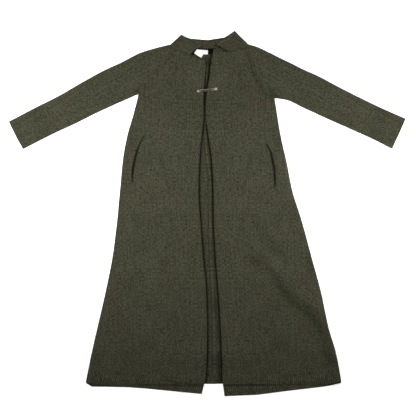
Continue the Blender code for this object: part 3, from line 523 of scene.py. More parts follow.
def tone_of(points: Array, streaks: Sequence[Streak]) -> Array:
    """Painted shade and light that multiply a place's colour: 1 plus every streak's bell about its line.

    Args:
        points: places, with x and y last.
        streaks: the streaks.

    Returns:
        One tone per place.
    """
    tone = np.ones(points.shape[:-1])
    for streak in streaks:
        away = distance_to_lines(points, [np.array(streak.line, float)])
        tone += streak.tone * np.exp(-((away / streak.width) ** 2))
    return tone


def x_at(line: Sequence[Spot] | Array, y: Array) -> Array:
    """Places along x of a line that runs down the coat, at heights y."""
    line = np.asarray(line, float)
    return smooth(-line[:, 1], line[:, 0], -np.asarray(y, float))


def back_hem_y(x: Array) -> Array:
    """Height of the back's hem edge at places along x."""
    hem = np.array(BACK_HEM, float)
    return np.interp(x, hem[:, 0], hem[:, 1])


def plan_of(mid: Array) -> Array:
    """The same points seen from above."""
    return mid[..., :2]


def at_height(plan: Array, height: float | Array) -> Array:
    """Points seen from above, raised to one height or to one for each."""
    return np.concatenate([plan, np.broadcast_to(height, plan.shape[:-1])[..., None]], axis=-1)


def up_like(points: Array, sign: float = 1.0) -> Array:
    """An upward (or downward) direction for every point.

    Args:
        points: the points.
        sign: 1 for up and -1 for down.

    Returns:
        One direction per point.
    """
    up = np.zeros_like(points)
    up[..., 2] = sign
    return up


@dataclass(frozen=True)
class PinPlan:
    """Where the safety pin lies; the cloth is lifted under it."""

    coil_x: float = -33.0
    coil_y: float = 427.0
    tilt: float = math.radians(7.0)
    length: float = 66.0
    half_spread: float = 2.4
    lift: float = 2.0
    lift_spread: float = 30.0

    def spot(self, along: Array, side: Array) -> Array:
        """Places on the pin, turned by its tilt about the coil.

        Args:
            along: distances from the coil towards the cap.
            side: distances to the left of that line.

        Returns:
            The places, seen from above.
        """
        along, side = np.broadcast_arrays(np.asarray(along, float), np.asarray(side, float))
        c, s = math.cos(self.tilt), math.sin(self.tilt)
        return np.stack([self.coil_x + along * c - side * s, self.coil_y + along * s + side * c], axis=-1)


@dataclass(frozen=True)
class Lay:
    """How the coat's two layers of cloth lie on each other and on the surface."""

    cloth: float = 2.6
    seam_gap: float = 0.3
    seam_lap: float = 0.1
    layer_gap: float = 1.8
    fold_reach: float = 4.0
    fold_puff: float = 1.6
    puff_fade: float = 22.0
    seam_height: float = 4.3
    pit_run: float = 10.0
    hem_drop_run: float = 10.0
    hem_rest: float = 0.3
    wave_count: int = 44
    wave_seed: int = 11
    swells: tuple[Swell, ...] = (Swell(0.34, 38, 120, 1), Swell(0.1, 12, 30, 2))
    swell_start: float = 12.0
    pin: PinPlan = PinPlan()

    @property
    def low_mid(self) -> float:
        """Height of the middle of the lower layer."""
        return self.cloth / 2

    @property
    def high_mid(self) -> float:
        """Height of the middle of the upper layer where it lies flat."""
        return self.cloth * 1.5 + self.layer_gap

    @property
    def inset(self) -> float:
        """From the outline to where a folded edge starts to bulge."""
        return self.fold_reach + self.cloth / 2

    def folded_lines(self) -> list[Array]:
        """The outline's folded stretches: side seams, sleeve edges and the collar's side folds.

        Returns:
            Four lines a side.
        """
        lines = []
        for side in Side:
            tops = columns(YOKE[side], "top_x", "top_y")
            lines += [
                columns(SKIRT[side], "side_x", "side_y"),
                columns(ARM[side], "under_x", "under_y"),
                np.vstack([tops, columns(ARM[side], "top_x", "top_y")[1:]]),
                np.array([tops[0], COLLAR_TOP[side]["fold"]], float),
            ]
        return lines

    def ripple(self, points: Array, swell: Swell) -> Array:
        """Small uneven swells: a sum of sine waves with seeded directions and lengths.

        Args:
            points: places, with x and y last.
            swell: their height, wavelengths and seed.

        Returns:
            Heights with about the stated spread.
        """
        draw = np.random.default_rng(self.wave_seed + swell.seed)
        turn = draw.uniform(0, math.pi, self.wave_count)
        lengths = np.exp(draw.uniform(math.log(swell.low), math.log(swell.high), self.wave_count))
        wave = 2 * math.pi / lengths
        phase = draw.uniform(0, 2 * math.pi, self.wave_count)
        total = np.zeros(points.shape[:-1])
        for angle, number, start in zip(turn, wave, phase):
            across = points[..., 0] * math.cos(angle) + points[..., 1] * math.sin(angle)
            total += np.sin(across * number + start)
        return swell.height * (total * math.sqrt(2 / self.wave_count))

    def ridge_height(self, points: Array, ridge: Ridge) -> Array:
        """Height that one soft ridge adds: a bell across a bowed line, faded past its ends.

        Args:
            points: places, with x and y last.
            ridge: the ridge.

        Returns:
            Heights there.
        """
        start = np.array([ridge.x1, ridge.y1], float)
        run = np.array([ridge.x2, ridge.y2], float) - start
        length = np.linalg.norm(run)
        along = (points - start) @ run / length**2
        t = np.clip(along, 0, 1)
        across = (points - start) @ np.array([-run[1], run[0]]) / length - ridge.bow * 4 * t * (1 - t)
        past = (along - t) * length
        width = np.where(across > 0, ridge.left_width or ridge.width, ridge.width)
        return ridge.height * np.exp(-((across / width) ** 2 + (past / ridge.width) ** 2))

    def upper(self, points: Array) -> Array:
        """Height of the middle of the upper layer.

        It is the flat height, more beside folded edges, plus the ridges, the lift under the pin
        and small swells; past the back's hem it eases down to the surface.

        Args:
            points: places, with x and y last.

        Returns:
            Heights there.
        """
        inside = np.maximum(distance_to_lines(points, self.folded_lines()) - self.inset, 0)
        height = self.high_mid + self.fold_puff * np.exp(-inside / self.puff_fade)
        for ridge in RIDGES:
            height = height + self.ridge_height(points, ridge)
        middle = self.pin.spot(self.pin.length / 2, 0.0)
        from_pin = np.linalg.norm(points - middle, axis=-1)
        height = height + self.pin.lift * np.exp(-((from_pin / self.pin.lift_spread) ** 2))
        swell = sum(self.ripple(points, swell) for swell in self.swells)
        height = height + swell * ease(inside / self.swell_start)
        share = ease((back_hem_y(points[..., 0]) - points[..., 1]) / self.hem_drop_run)
        return height + share * (self.hem_rest + self.cloth / 2 - height)

    def bend(
        self, start_z: Array, end_z: Array, inner: Array, outward: Array, angles: Array
    ) -> tuple[Array, Array]:
        """Points and outward directions round a bulge: part of an ellipse from one layer to another.

        Args:
            start_z: heights at angle 0.
            end_z: heights at a half turn.
            inner: where the bulge starts.
            outward: directions in which it bulges.
            angles: turns along it.

        Returns:
            The points and their outward directions.
        """
        middle, half = (start_z + end_z) / 2, (start_z - end_z) / 2
        sine, cosine = np.sin(angles), np.cos(angles)
        plan = inner[..., None, :] + outward[..., None, :] * (self.fold_reach * sine)[:, None]
        z = middle[..., None] + half[..., None] * cosine
        sideways = outward[..., None, :] * (sine / self.fold_reach)[:, None]
        return at_height(plan, z), unit(at_height(sideways, cosine / half[..., None]))

    def curl(
        self, seam: Array, inner: Array, outward: Array, flat_z: Array, amount: Array, steps: int = 6
    ) -> tuple[Array, Array]:
        """Columns from a seam to where its panel lies flat.

        Args:
            seam: the seam's line.
            inner: the line where the panel lies flat.
            outward: directions away from the panel.
            flat_z: heights there.
            amount: 0 for a flat edge and 1 for a full quarter turn down (or up) to the seam.
            steps: number of columns.

        Returns:
            Points and outward directions, the seam first.
        """
        share = np.arange(steps) / steps
        turned, normals = self.bend(
            flat_z, 2 * self.seam_height - flat_z, inner, outward, (1 - share) * math.pi / 2
        )
        plan = seam[..., None, :] + (inner - seam)[..., None, :] * share[:, None]
        flat = at_height(plan, flat_z[..., None])
        up = up_like(flat)
        up[..., 2] = np.sign(flat_z - self.seam_height)[..., None]
        keep = amount[..., None, None]
        return (1 - keep) * flat + keep * turned, unit((1 - keep) * up + keep * normals)


LAY = Lay()
SEAM_LINES = 7  # lines of points beside a seam that its groove may reach
REVERSED = [0, 3, 2, 1]  # corners of a face in the other direction, from the same first corner


class Edge(Enum):
    """The four edges of a grid of points."""

    FIRST_ROW = (0, 0)
    LAST_ROW = (0, -1)
    FIRST_COLUMN = (1, 0)
    LAST_COLUMN = (1, -1)


@dataclass
class Wall:
    """A closed wall of cloth about a grid of middle points, with soft or seamed edges."""

    mid: Array
    normal: Array
    uv: Array
    raise_out: Array
    raise_in: Array
    # shade holds painted shade and light; groove holds painted shade in the seams' grooves, on the outer face
    # only.
    shade: Array
    groove: Array
    warm: Array
    open_cells: Array

    @classmethod
    def of(cls, mid: Array, normal: Array, uv: Array) -> "Wall":
        """A wall with no relief, no shade, no warm tint and no open cells yet.

        Args:
            mid: rows and columns of middle points.
            normal: outward directions there.
            uv: places on the cloth there.

        Returns:
            The wall.
        """
        flat = np.zeros(mid.shape[:2])
        closed = np.zeros(flat[1:, 1:].shape, bool)
        return cls(
            mid.copy(), normal.copy(), uv.copy(), flat.copy(), flat.copy(),
            flat + 1.0, flat + 1.0, flat.copy(), closed,
        )

    def line(self, values: Array, edge: Edge, back: int = 0) -> Array:
        """One line of the grid, counted from an edge.

        Args:
            values: values on the grid.
            edge: the edge.
            back: lines in from that edge.

        Returns:
            A view of that line, so that changes to it stay in the grid.
        """
        axis, end = edge.value
        place = back if end == 0 else -1 - back
        return values[place] if axis == 0 else values[:, place]

    def sew(self, groove: Groove, *edges: Edge) -> None:
        """Closes edges onto their neighbours, rounds the outer face down to the seam and paints shade in its
        groove.

        Args:
            groove: how the seam shows; it is deepest at the seam and eases out to its reach.
            edges: the edges that are sewn.
        """
        dip, dark, reach = groove
        for edge in edges:
            line, following = self.line(self.mid, edge), self.line(self.mid, edge, 1)
            along = unit(np.gradient(line, axis=0))
            inward = following - line
            inward = inward - (inward * along).sum(-1, keepdims=True) * along
            line -= unit(inward) * LAY.seam_lap / 2
            if np.median(np.linalg.norm(inward, axis=-1)) > reach:
                self.insert(edge, (0.3 * reach, 0.65 * reach, reach))
            start = self.line(self.mid, edge).copy()
            for back in range(SEAM_LINES):
                away = np.linalg.norm(self.line(self.mid, edge, back) - start, axis=-1)
                near = 1 - ease(away / reach)
                face = self.line(self.raise_out, edge, back)
                tone = self.line(self.groove, edge, back)
                face -= dip * near
                # Painted shade in the seam's groove.
                tone *= 1 - dark * near

    def thin(self, thick: float) -> None:
        """Draws both faces in, to a thickness of its own."""
        self.raise_out += (thick - LAY.cloth) / 2
        self.raise_in += (thick - LAY.cloth) / 2

    def streak(self, streaks: Sequence[Streak]) -> None:
        """Lays streaks of painted shade and light on the cloth."""
        self.shade *= tone_of(plan_of(self.mid), streaks)

    def darken_beside(self, lines: Sequence[Array], amount: float, reach: float) -> None:
        """Paints a narrow shadow on the cloth beside edges that lie over it, as a bell.

        Args:
            lines: the edges.
            amount: share of light that is lost at the edge.
            reach: half width of the shadow.
        """
        away = distance_to_lines(plan_of(self.mid), lines)
        self.shade *= 1 - amount * np.exp(-((away / reach) ** 2))

    def insert(self, edge: Edge, distances: Sequence[float]) -> None:
        """Adds lines of points close inside an edge, at stated distances from it.

        Every value on them is shared out between the edge and the line that followed it.

        Args:
            edge: the edge.
            distances: the lines' distances from it.
        """
        axis, end = edge.value
        line, following = self.line(self.mid, edge), self.line(self.mid, edge, 1)
        length = np.maximum(np.linalg.norm(following - line, axis=-1), 1e-6)
        for name in ("mid", "normal", "uv", "raise_out", "raise_in", "shade", "groove", "warm"):
            values = getattr(self, name)
            a, b = self.line(values, edge), self.line(values, edge, 1)
            added = []
            for distance in distances:
                share = np.minimum(distance / length, 0.9)
                added.append(a + (b - a) * (share if a.ndim == 1 else share[:, None]))
            stack = added if end == 0 else added[::-1]
            place = 1 if end == 0 else values.shape[axis] - 1
            grown = np.insert(values, [place] * len(stack), np.stack(stack, axis=axis), axis=axis)
            setattr(self, name, grown)
        cells = self.line(self.open_cells, edge)
        place = 0 if end == 0 else self.open_cells.shape[axis]
        copies = np.stack([cells] * len(distances), axis=axis)
        self.open_cells = np.insert(self.open_cells, [place] * len(distances), copies, axis=axis)

    def soften(self, *edges: Edge, bead: float = 0.0, width: float = 5.5, left: float = 0.12) -> None:
        """Rounds free edges as a half circle and rolls them into a low bead.

        Args:
            edges: the free edges.
            bead: height of the bead, or 0.
            width: width of the bead.
            left: share of the half thickness that is left at the very edge.
        """
        half = LAY.cloth / 2
        distances = (0.1 * half, 0.35 * half, half)
        if bead:
            distances += tuple(half + (width - half) * np.array([0.2, 0.4, 0.6, 0.8, 1.0, 1.35]))
        for edge in edges:
            self.insert(edge, distances)
            for back, distance in enumerate((0.0, *distances)):
                height = math.sqrt(max(0.0, 1 - max(0.0, 1 - distance / half) ** 2))
                drop = half * (1 - max(left, height))
                roll = bead * math.sin(math.pi * (0.22 + 0.78 * min(1.0, distance / width)))
                out = self.line(self.raise_out, edge, back)
                inside = self.line(self.raise_in, edge, back)
                out -= drop - roll
                inside -= drop

    def build(self, name: str) -> Piece:
        """Makes the wall's mesh: both faces, half the cloth and their relief away from the middle.

        Args:
            name: name of the piece.

        Returns:
            The object, closed round its rim and round its open cells.
        """
        rows, across = self.mid.shape[:2]
        outer = self.mid + self.normal * (LAY.cloth / 2 + self.raise_out)[..., None]
        inner = self.mid - self.normal * (LAY.cloth / 2 + self.raise_in)[..., None]
        index = np.arange(rows * across).reshape(rows, across)
        cells = np.stack([index[:-1, :-1], index[:-1, 1:], index[1:, 1:], index[1:, :-1]], axis=-1)
        kept = ~self.open_cells
        open_cell = np.pad(~kept, 1, constant_values=True)
        rims = []
        for k, (dr, dc) in enumerate(((-1, 0), (0, 1), (1, 0), (0, -1))):
            beside = open_cell[1 + dr:1 + dr + kept.shape[0], 1 + dc:1 + dc + kept.shape[1]]
            start, end = cells[kept & beside][:, [k, (k + 1) % 4]].T
            rims.append(np.stack([end, start, start + index.size, end + index.size], axis=-1))
        shown = cells[kept]
        faces = np.concatenate([shown, shown[:, ::-1] + index.size, *rims])
        points = np.concatenate([outer.reshape(-1, 3), inner.reshape(-1, 3)])
        corner = points[shown[:, 0]]
        square = np.cross(points[shown[:, 1]] - corner, points[shown[:, 3]] - corner)
        facing = np.einsum("ij,ij->i", square, self.normal.reshape(-1, 3)[shown[:, 0]])
        if np.median(facing) < 0:
            faces = faces[:, ::-1]
        uv = np.concatenate([self.uv.reshape(-1, 2)] * 2) * MM
        return make_mesh(name, points, faces, uv, self.tones())

    def tones(self) -> dict[str, Array]:
        """Painted shade and light and the warm tint of the outer, then the inner face, with the seams'
        painted groove shade outside.

        What is seen from above fades out where its face turns down: its share is 1 where the face's
        direction rises by a third or more, and 0 where it falls by as much.

        Returns:
            The mesh's attributes by name, one number per point.
        """
        rise = np.concatenate([self.normal[..., 2].ravel(), -self.normal[..., 2].ravel()])
        share = ease(0.5 + 1.5 * rise)
        shade, warm = np.tile(self.shade.ravel(), 2), np.tile(self.warm.ravel(), 2)
        groove = np.concatenate([self.groove.ravel(), np.ones(self.groove.size)])
        return {"shade": groove * (1 + (shade - 1) * share), "warm": warm * share}


def make_mesh(
    name: str, points: Array, faces: Array, uv: Array | None = None, tones: dict[str, Array] | None = None
) -> Piece:
    """A smooth-shaded mesh object at the origin, from points in millimetres.

    Args:
        name: name of the piece.
        points: its vertices.
        faces: its four-sided faces; a repeated last corner makes a triangle.
        uv: one UV place per vertex, or None.
        tones: attributes by name, with one number per vertex, or None.

    Returns:
        The object.
    """
    used = np.unique(faces)
    renumber = np.zeros(len(points), int)
    renumber[used] = np.arange(len(used))
    points, faces = points[used], renumber[faces]
    loops = [face[:3] if face[2] == face[3] else face for face in faces.tolist()]
    mesh = bpy.data.meshes.new(name)
    mesh.from_pydata((points * MM).tolist(), [], loops)
    if uv is not None:
        corner = np.zeros(len(mesh.loops), np.int32)
        mesh.loops.foreach_get("vertex_index", corner)
        layer = mesh.uv_layers.new(name="cut")
        layer.data.foreach_set("uv", uv[used][corner].astype(np.float32).ravel())
    for key, values in (tones or {"shade": np.ones(len(renumber))}).items():
        mesh.attributes.new(key, "FLOAT", "POINT").data.foreach_set("value", values[used].astype(np.float32))
    mesh.polygons.foreach_set("use_smooth", np.ones(len(mesh.polygons), bool))
    mesh.validate()
    return place(name, mesh)


def place(name: str, data: bpy.types.ID) -> Piece:
    """Makes an object and links it to the scene.

    Args:
        name: its name.
        data: its mesh, camera or light.

    Returns:
        The object.
    """
    thing = bpy.data.objects.new(name, data)
    bpy.context.scene.collection.objects.link(thing)
    return thing


def ring_bands(index: Array) -> Array:
    """Faces between following rings of point numbers, one ring a row."""
    after = np.roll(index, -1, axis=1)
    return np.stack([index[:-1], after[:-1], after[1:], index[1:]], axis=-1).reshape(-1, 4)


def ring_fan(ring: Array, tip: int) -> Array:
    """Faces from a ring of point numbers to the number of one tip."""
    tips = np.full(len(ring), tip)
    return np.stack([ring, np.roll(ring, -1), tips, tips], axis=-1)


def ring_mesh(name: str, rings: Array, first_tip: Array, last_tip: Array, mapped: bool = False) -> Piece:
    """A closed mesh through rings of points, with a fan to a tip at each end.

    Args:
        name: name of the piece.
        rings: rings of points, in order along the piece.
        first_tip: point that closes the first ring.
        last_tip: point that closes the last ring.
        mapped: true for a UV map that looks down on the piece.

    Returns:
        The object.
    """
    count = rings.shape[1]
    index = np.arange(rings.shape[0] * count).reshape(-1, count)
    ends = (ring_fan(index[0][::-1], index.size), ring_fan(index[-1], index.size + 1))
    faces = np.concatenate([ring_bands(index), *ends])
    points = np.vstack([rings.reshape(-1, 3), first_tip, last_tip])
    return make_mesh(name, points, faces, plan_of(points) * MM if mapped else None)


def arc_uv(mid: Array, along: Array, start: int = 0) -> Array:
    """UV places: arc length across each row from a stated column, and a stated length along.

    Args:
        mid: the grid's middle points.
        along: distance along the cloth, one per row.
        start: the column where the arc length is 0.

    Returns:
        UV places in millimetres.
    """
    step = np.linalg.norm(np.diff(mid, axis=1), axis=-1)
    length = np.concatenate([np.zeros((len(mid), 1)), np.cumsum(step, axis=1)], axis=1)
    length = length - length[:, start][:, None]
    return np.stack([length, np.broadcast_to(np.asarray(along)[:, None], length.shape)], axis=-1)


class Graph:
    """A short way to lay out a material's nodes."""

    def __init__(self, name: str) -> None:
        """Starts a material with a plain Principled surface.

        Args:
            name: the material's name.
        """
        self.material = bpy.data.materials.new(name)
        self.material.use_nodes = True
        self.tree = self.material.node_tree
        self.shader = self.tree.nodes["Principled BSDF"]

    def add(self, kind: str, inputs: dict | None = None, **fields) -> bpy.types.Node:
        """A node with its fields set and its inputs set or linked.

        Args:
            kind: Blender's name of the node's type.
            inputs: socket name or number to a value or to another node's output.
            fields: the node's own settings.

        Returns:
            The node.
        """
        node = self.tree.nodes.new(kind)
        for name, value in fields.items():
            setattr(node, name, value)
        for name, value in (inputs or {}).items():
            if isinstance(value, Socket):
                self.tree.links.new(value, node.inputs[name])
            else:
                node.inputs[name].default_value = value
        return node

    def maths(self, operation: str, *values: object) -> Socket:
        """The result of one maths step on values or other results."""
        return self.add("ShaderNodeMath", dict(enumerate(values)), operation=operation).outputs[0]

    def mix(self, kind: str, share: object, first: object, second: object) -> Socket:
        """Two colours mixed."""
        node = self.add("ShaderNodeMix", {0: share, 6: first, 7: second}, data_type="RGBA", blend_type=kind)
        return node.outputs[2]

    def noise(self, vector: object, size: float, detail: float, rough: float) -> Socket:
        """Values of a noise pattern whose blobs are about as wide as a size in metres."""
        inputs = {"Vector": vector, "Scale": 1 / size, "Detail": detail, "Roughness": rough}
        return self.add("ShaderNodeTexNoise", inputs).outputs["Fac"]

    def stretched(self, vector: object, upright: float) -> Socket:
        """A UV place whose patterns are drawn out along the wales."""
        return self.add("ShaderNodeMapping", {"Vector": vector, "Scale": (1.0, upright, 1.0)}).outputs[0]

    def cut_map(self) -> Socket:
        """The place on the cloth's own UV map."""
        return self.add("ShaderNodeUVMap", uv_map="cut").outputs["UV"]

    def halves(self, vector: object) -> tuple[Socket, Socket]:
        """The first two parts of a vector."""
        parts = self.add("ShaderNodeSeparateXYZ", {0: vector}).outputs
        return parts[0], parts[1]

    def attribute(self, name: str) -> Socket:
        """The number that the mesh's points hold under a name."""
        return self.add("ShaderNodeAttribute", attribute_name=name).outputs["Fac"]

    def grey(self, tone: object) -> Socket:
        """A grey of one tone."""
        return self.add("ShaderNodeCombineColor", {0: tone, 1: tone, 2: tone}).outputs[0]

    def ramp(self, value: object, stops: Sequence[tuple[float, float]]) -> Socket:
        """Grey values along a ramp.

        Args:
            value: what the ramp reads.
            stops: pairs of a place and the grey there.

        Returns:
            The grey.
        """
        node = self.add("ShaderNodeValToRGB", {"Fac": value})
        elements = node.color_ramp.elements
        while len(elements) < len(stops):
            elements.new(0.5)
        for element, (place, grey) in zip(elements, stops):
            element.position = place
            element.color = (grey, grey, grey, 1.0)
        return node.outputs["Color"]

    def set(self, **values: object) -> None:
        """Sets or links the shader's sockets, named with _ for a space."""
        for name, value in values.items():
            socket = self.shader.inputs[name.replace("_", " ")]
            if isinstance(value, Socket):
                self.tree.links.new(value, socket)
            else:
                socket.default_value = value


@dataclass(frozen=True)
class MarledKnit:
    """Wool knit of twisted yarns: V-shaped stitches in upright wales, with light and dark flecks."""

    name: str = "marled_knit"
    light: tuple[float, float, float] = (0.0793, 0.0808, 0.0517)
    dark: tuple[float, float, float] = (0.0112, 0.0115, 0.0073)
    warmth: tuple[float, float, float] = (1.13, 0.975, 1.03)
    nap: tuple[float, float, float, float] = (0.9, 0.9, 0.5, 1.0)
    wale: float = 3.4 * MM
    course: float = 2.7 * MM
    relief: float = 0.7 * MM
    slant: float = 0.55
    beat: float = 0.17
    fullness: float = 2.2

    def material(self) -> Material:
        """The knit's material, on the cloth's own UV map in metres.

        A stitch is highest on its wale's middle and falls off towards its sides; its course is a sine
        that leans along the wale. The marl mixes noises of several sizes between dark and light yarn.

        Returns:
            The material.
        """
        g = Graph(self.name)
        uv = g.cut_map()
        u, v = g.halves(uv)
        wale = g.maths("FRACT", g.maths("DIVIDE", u, self.wale))
        away = g.maths("MULTIPLY", g.maths("ABSOLUTE", g.maths("SUBTRACT", wale, 0.5)), 2.0)
        lean = g.maths("MULTIPLY_ADD", away, self.slant, g.maths("DIVIDE", v, self.course))
        beat = g.maths("SINE", g.maths("MULTIPLY", lean, 2 * math.pi))
        loop = g.maths("MULTIPLY_ADD", beat, self.beat, 1 - self.beat)
        height = g.maths("MULTIPLY", loop, g.maths("SUBTRACT", 1.0, g.maths("POWER", away, self.fullness)))
        stretched = g.stretched(uv, 0.62)
        fleck = g.noise(stretched, 4.2 * MM, 1.0, 0.6)
        slub = g.noise(stretched, 9.0 * MM, 1.0, 0.5)
        fibre = g.noise(stretched, 1.1 * MM, 2.0, 0.6)
        column = g.noise(g.stretched(uv, 0.09), 6.4 * MM, 1.0, 0.5)
        cloud = g.noise(uv, 70 * MM, 2.0, 0.5)
        tint = g.noise(uv, 120 * MM, 2.0, 0.6)
        marl = g.ramp(fleck, ((0.37, 0.0), (0.63, 1.0)))
        for share, pattern, dark, light in (
            (0.2, slub, 0.36, 0.64),
            (0.15, fibre, 0.3, 0.7),
            (0.12, cloud, 0.3, 0.7),
            (0.17, column, 0.34, 0.66),
        ):
            marl = g.mix("MIX", share, marl, g.ramp(pattern, ((dark, 0.0), (light, 1.0))))
        colour = g.mix("MIX", marl, (*self.dark, 1), (*self.light, 1))
        warm = g.ramp(tint, ((0.49, 0.0), (0.65, 0.55)))
        warm = g.maths("MAXIMUM", warm, g.attribute("warm"))
        colour = g.mix("MULTIPLY", warm, colour, (*self.warmth, 1))
        # Painted shade between the stitches, darker where a stitch is low; then the mesh's painted shade and
        # light.
        colour = g.mix("MULTIPLY", 1.0, colour, g.ramp(height, ((0.0, 0.5), (0.5, 1.0))))
        colour = g.mix("MULTIPLY", 1.0, colour, g.attribute("shade"))
        bump = g.add("ShaderNodeBump", {"Strength": 0.7, "Distance": self.relief, "Height": height})
        fuzz = g.add(
            "ShaderNodeBump",
            {"Strength": 0.35, "Distance": 0.4 * MM, "Height": fibre, "Normal": bump.outputs[0]},
        )
        g.set(
            Base_Color=colour, Roughness=0.92, Normal=fuzz.outputs[0], Sheen_Weight=0.05, Sheen_Roughness=0.5,
            Sheen_Tint=self.nap, Specular_IOR_Level=0.08, Specular_Tint=self.nap,
        )
        return g.material


@dataclass(frozen=True)
class WovenBand:
    """A close woven tape or label: fine threads across and along."""

    name: str
    colour: tuple[float, float, float]
    thread: float
    contrast: float
    rough: float
    gloss: float

    def material(self) -> Material:
        """The woven band's material, on its own UV map in metres.

        The weave is the product of one sine across and one along.

        Returns:
            The material.
        """
        g = Graph(self.name)
        uv = g.cut_map()
        turns = 2 * math.pi / self.thread
        waves = [g.maths("SINE", g.maths("MULTIPLY", axis, turns)) for axis in g.halves(uv)]
        weave = g.maths("MULTIPLY_ADD", g.maths("MULTIPLY", *waves), 0.5, 0.5)
        cloud = g.noise(uv, 6 * MM, 3.0, 0.6)
        tone = g.maths("MULTIPLY_ADD", weave, self.contrast, 1 - self.contrast)
        tone = g.maths("MULTIPLY", tone, g.maths("MULTIPLY_ADD", cloud, 0.16, 0.92))
        # Painted shadow from the mesh's shade attribute.
        tone = g.maths("MULTIPLY", tone, g.attribute("shade"))
        colour = g.mix("MULTIPLY", 1.0, (*self.colour, 1), g.grey(tone))
        bump = g.add("ShaderNodeBump", {"Strength": 0.4, "Distance": 0.15 * MM, "Height": weave})
        g.set(
            Base_Color=colour, Roughness=self.rough, Normal=bump.outputs[0],
            Specular_IOR_Level=self.gloss,
        )
        return g.material


@dataclass(frozen=True)
class PolishedWire:
    """Silver-coloured plated steel with a few fine scratches."""

    name: str = "silver_wire"
    colour: tuple[float, float, float] = (0.80, 0.77, 0.68)
    scratch: float = MM / 0.9

    def material(self) -> Material:
        """The wire's material, on Object coordinates.

        Returns:
            The material.
        """
        g = Graph(self.name)
        place = g.add("ShaderNodeTexCoord").outputs["Object"]
        wear = g.noise(place, self.scratch, 3.0, 0.6)
        rough = g.add("ShaderNodeMapRange", {"Value": wear, "To Min": 0.34, "To Max": 0.5}).outputs[0]
        tone = g.add("ShaderNodeMapRange", {"Value": wear, "To Min": 0.82, "To Max": 1.0}).outputs[0]
        colour = g.mix("MULTIPLY", 1.0, (*self.colour, 1), g.grey(tone))
        bump = g.add("ShaderNodeBump", {"Strength": 0.15, "Distance": 0.05 * MM, "Height": wear})
        g.set(Base_Color=colour, Roughness=rough, Metallic=1.0, Normal=bump.outputs[0])
        return g.material


@dataclass
class Wardrobe:
    """Dresses pieces: their finish, the body they ride on, and what they stand for."""

    finishes: dict[Finish, Material]

    def dress(self, piece: Piece, finish: Finish, *nodes: str) -> None:
        """Gives a piece its material and slot, hangs it on the coat and reports it.

        Args:
            piece: the object.
            finish: its finish.
            nodes: the solids it stands for.
        """
        piece.data.materials.append(self.finishes[finish])
        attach(piece, "root")
        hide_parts(*nodes)
        log.info("%s: %d faces", piece.name, len(piece.data.polygons))


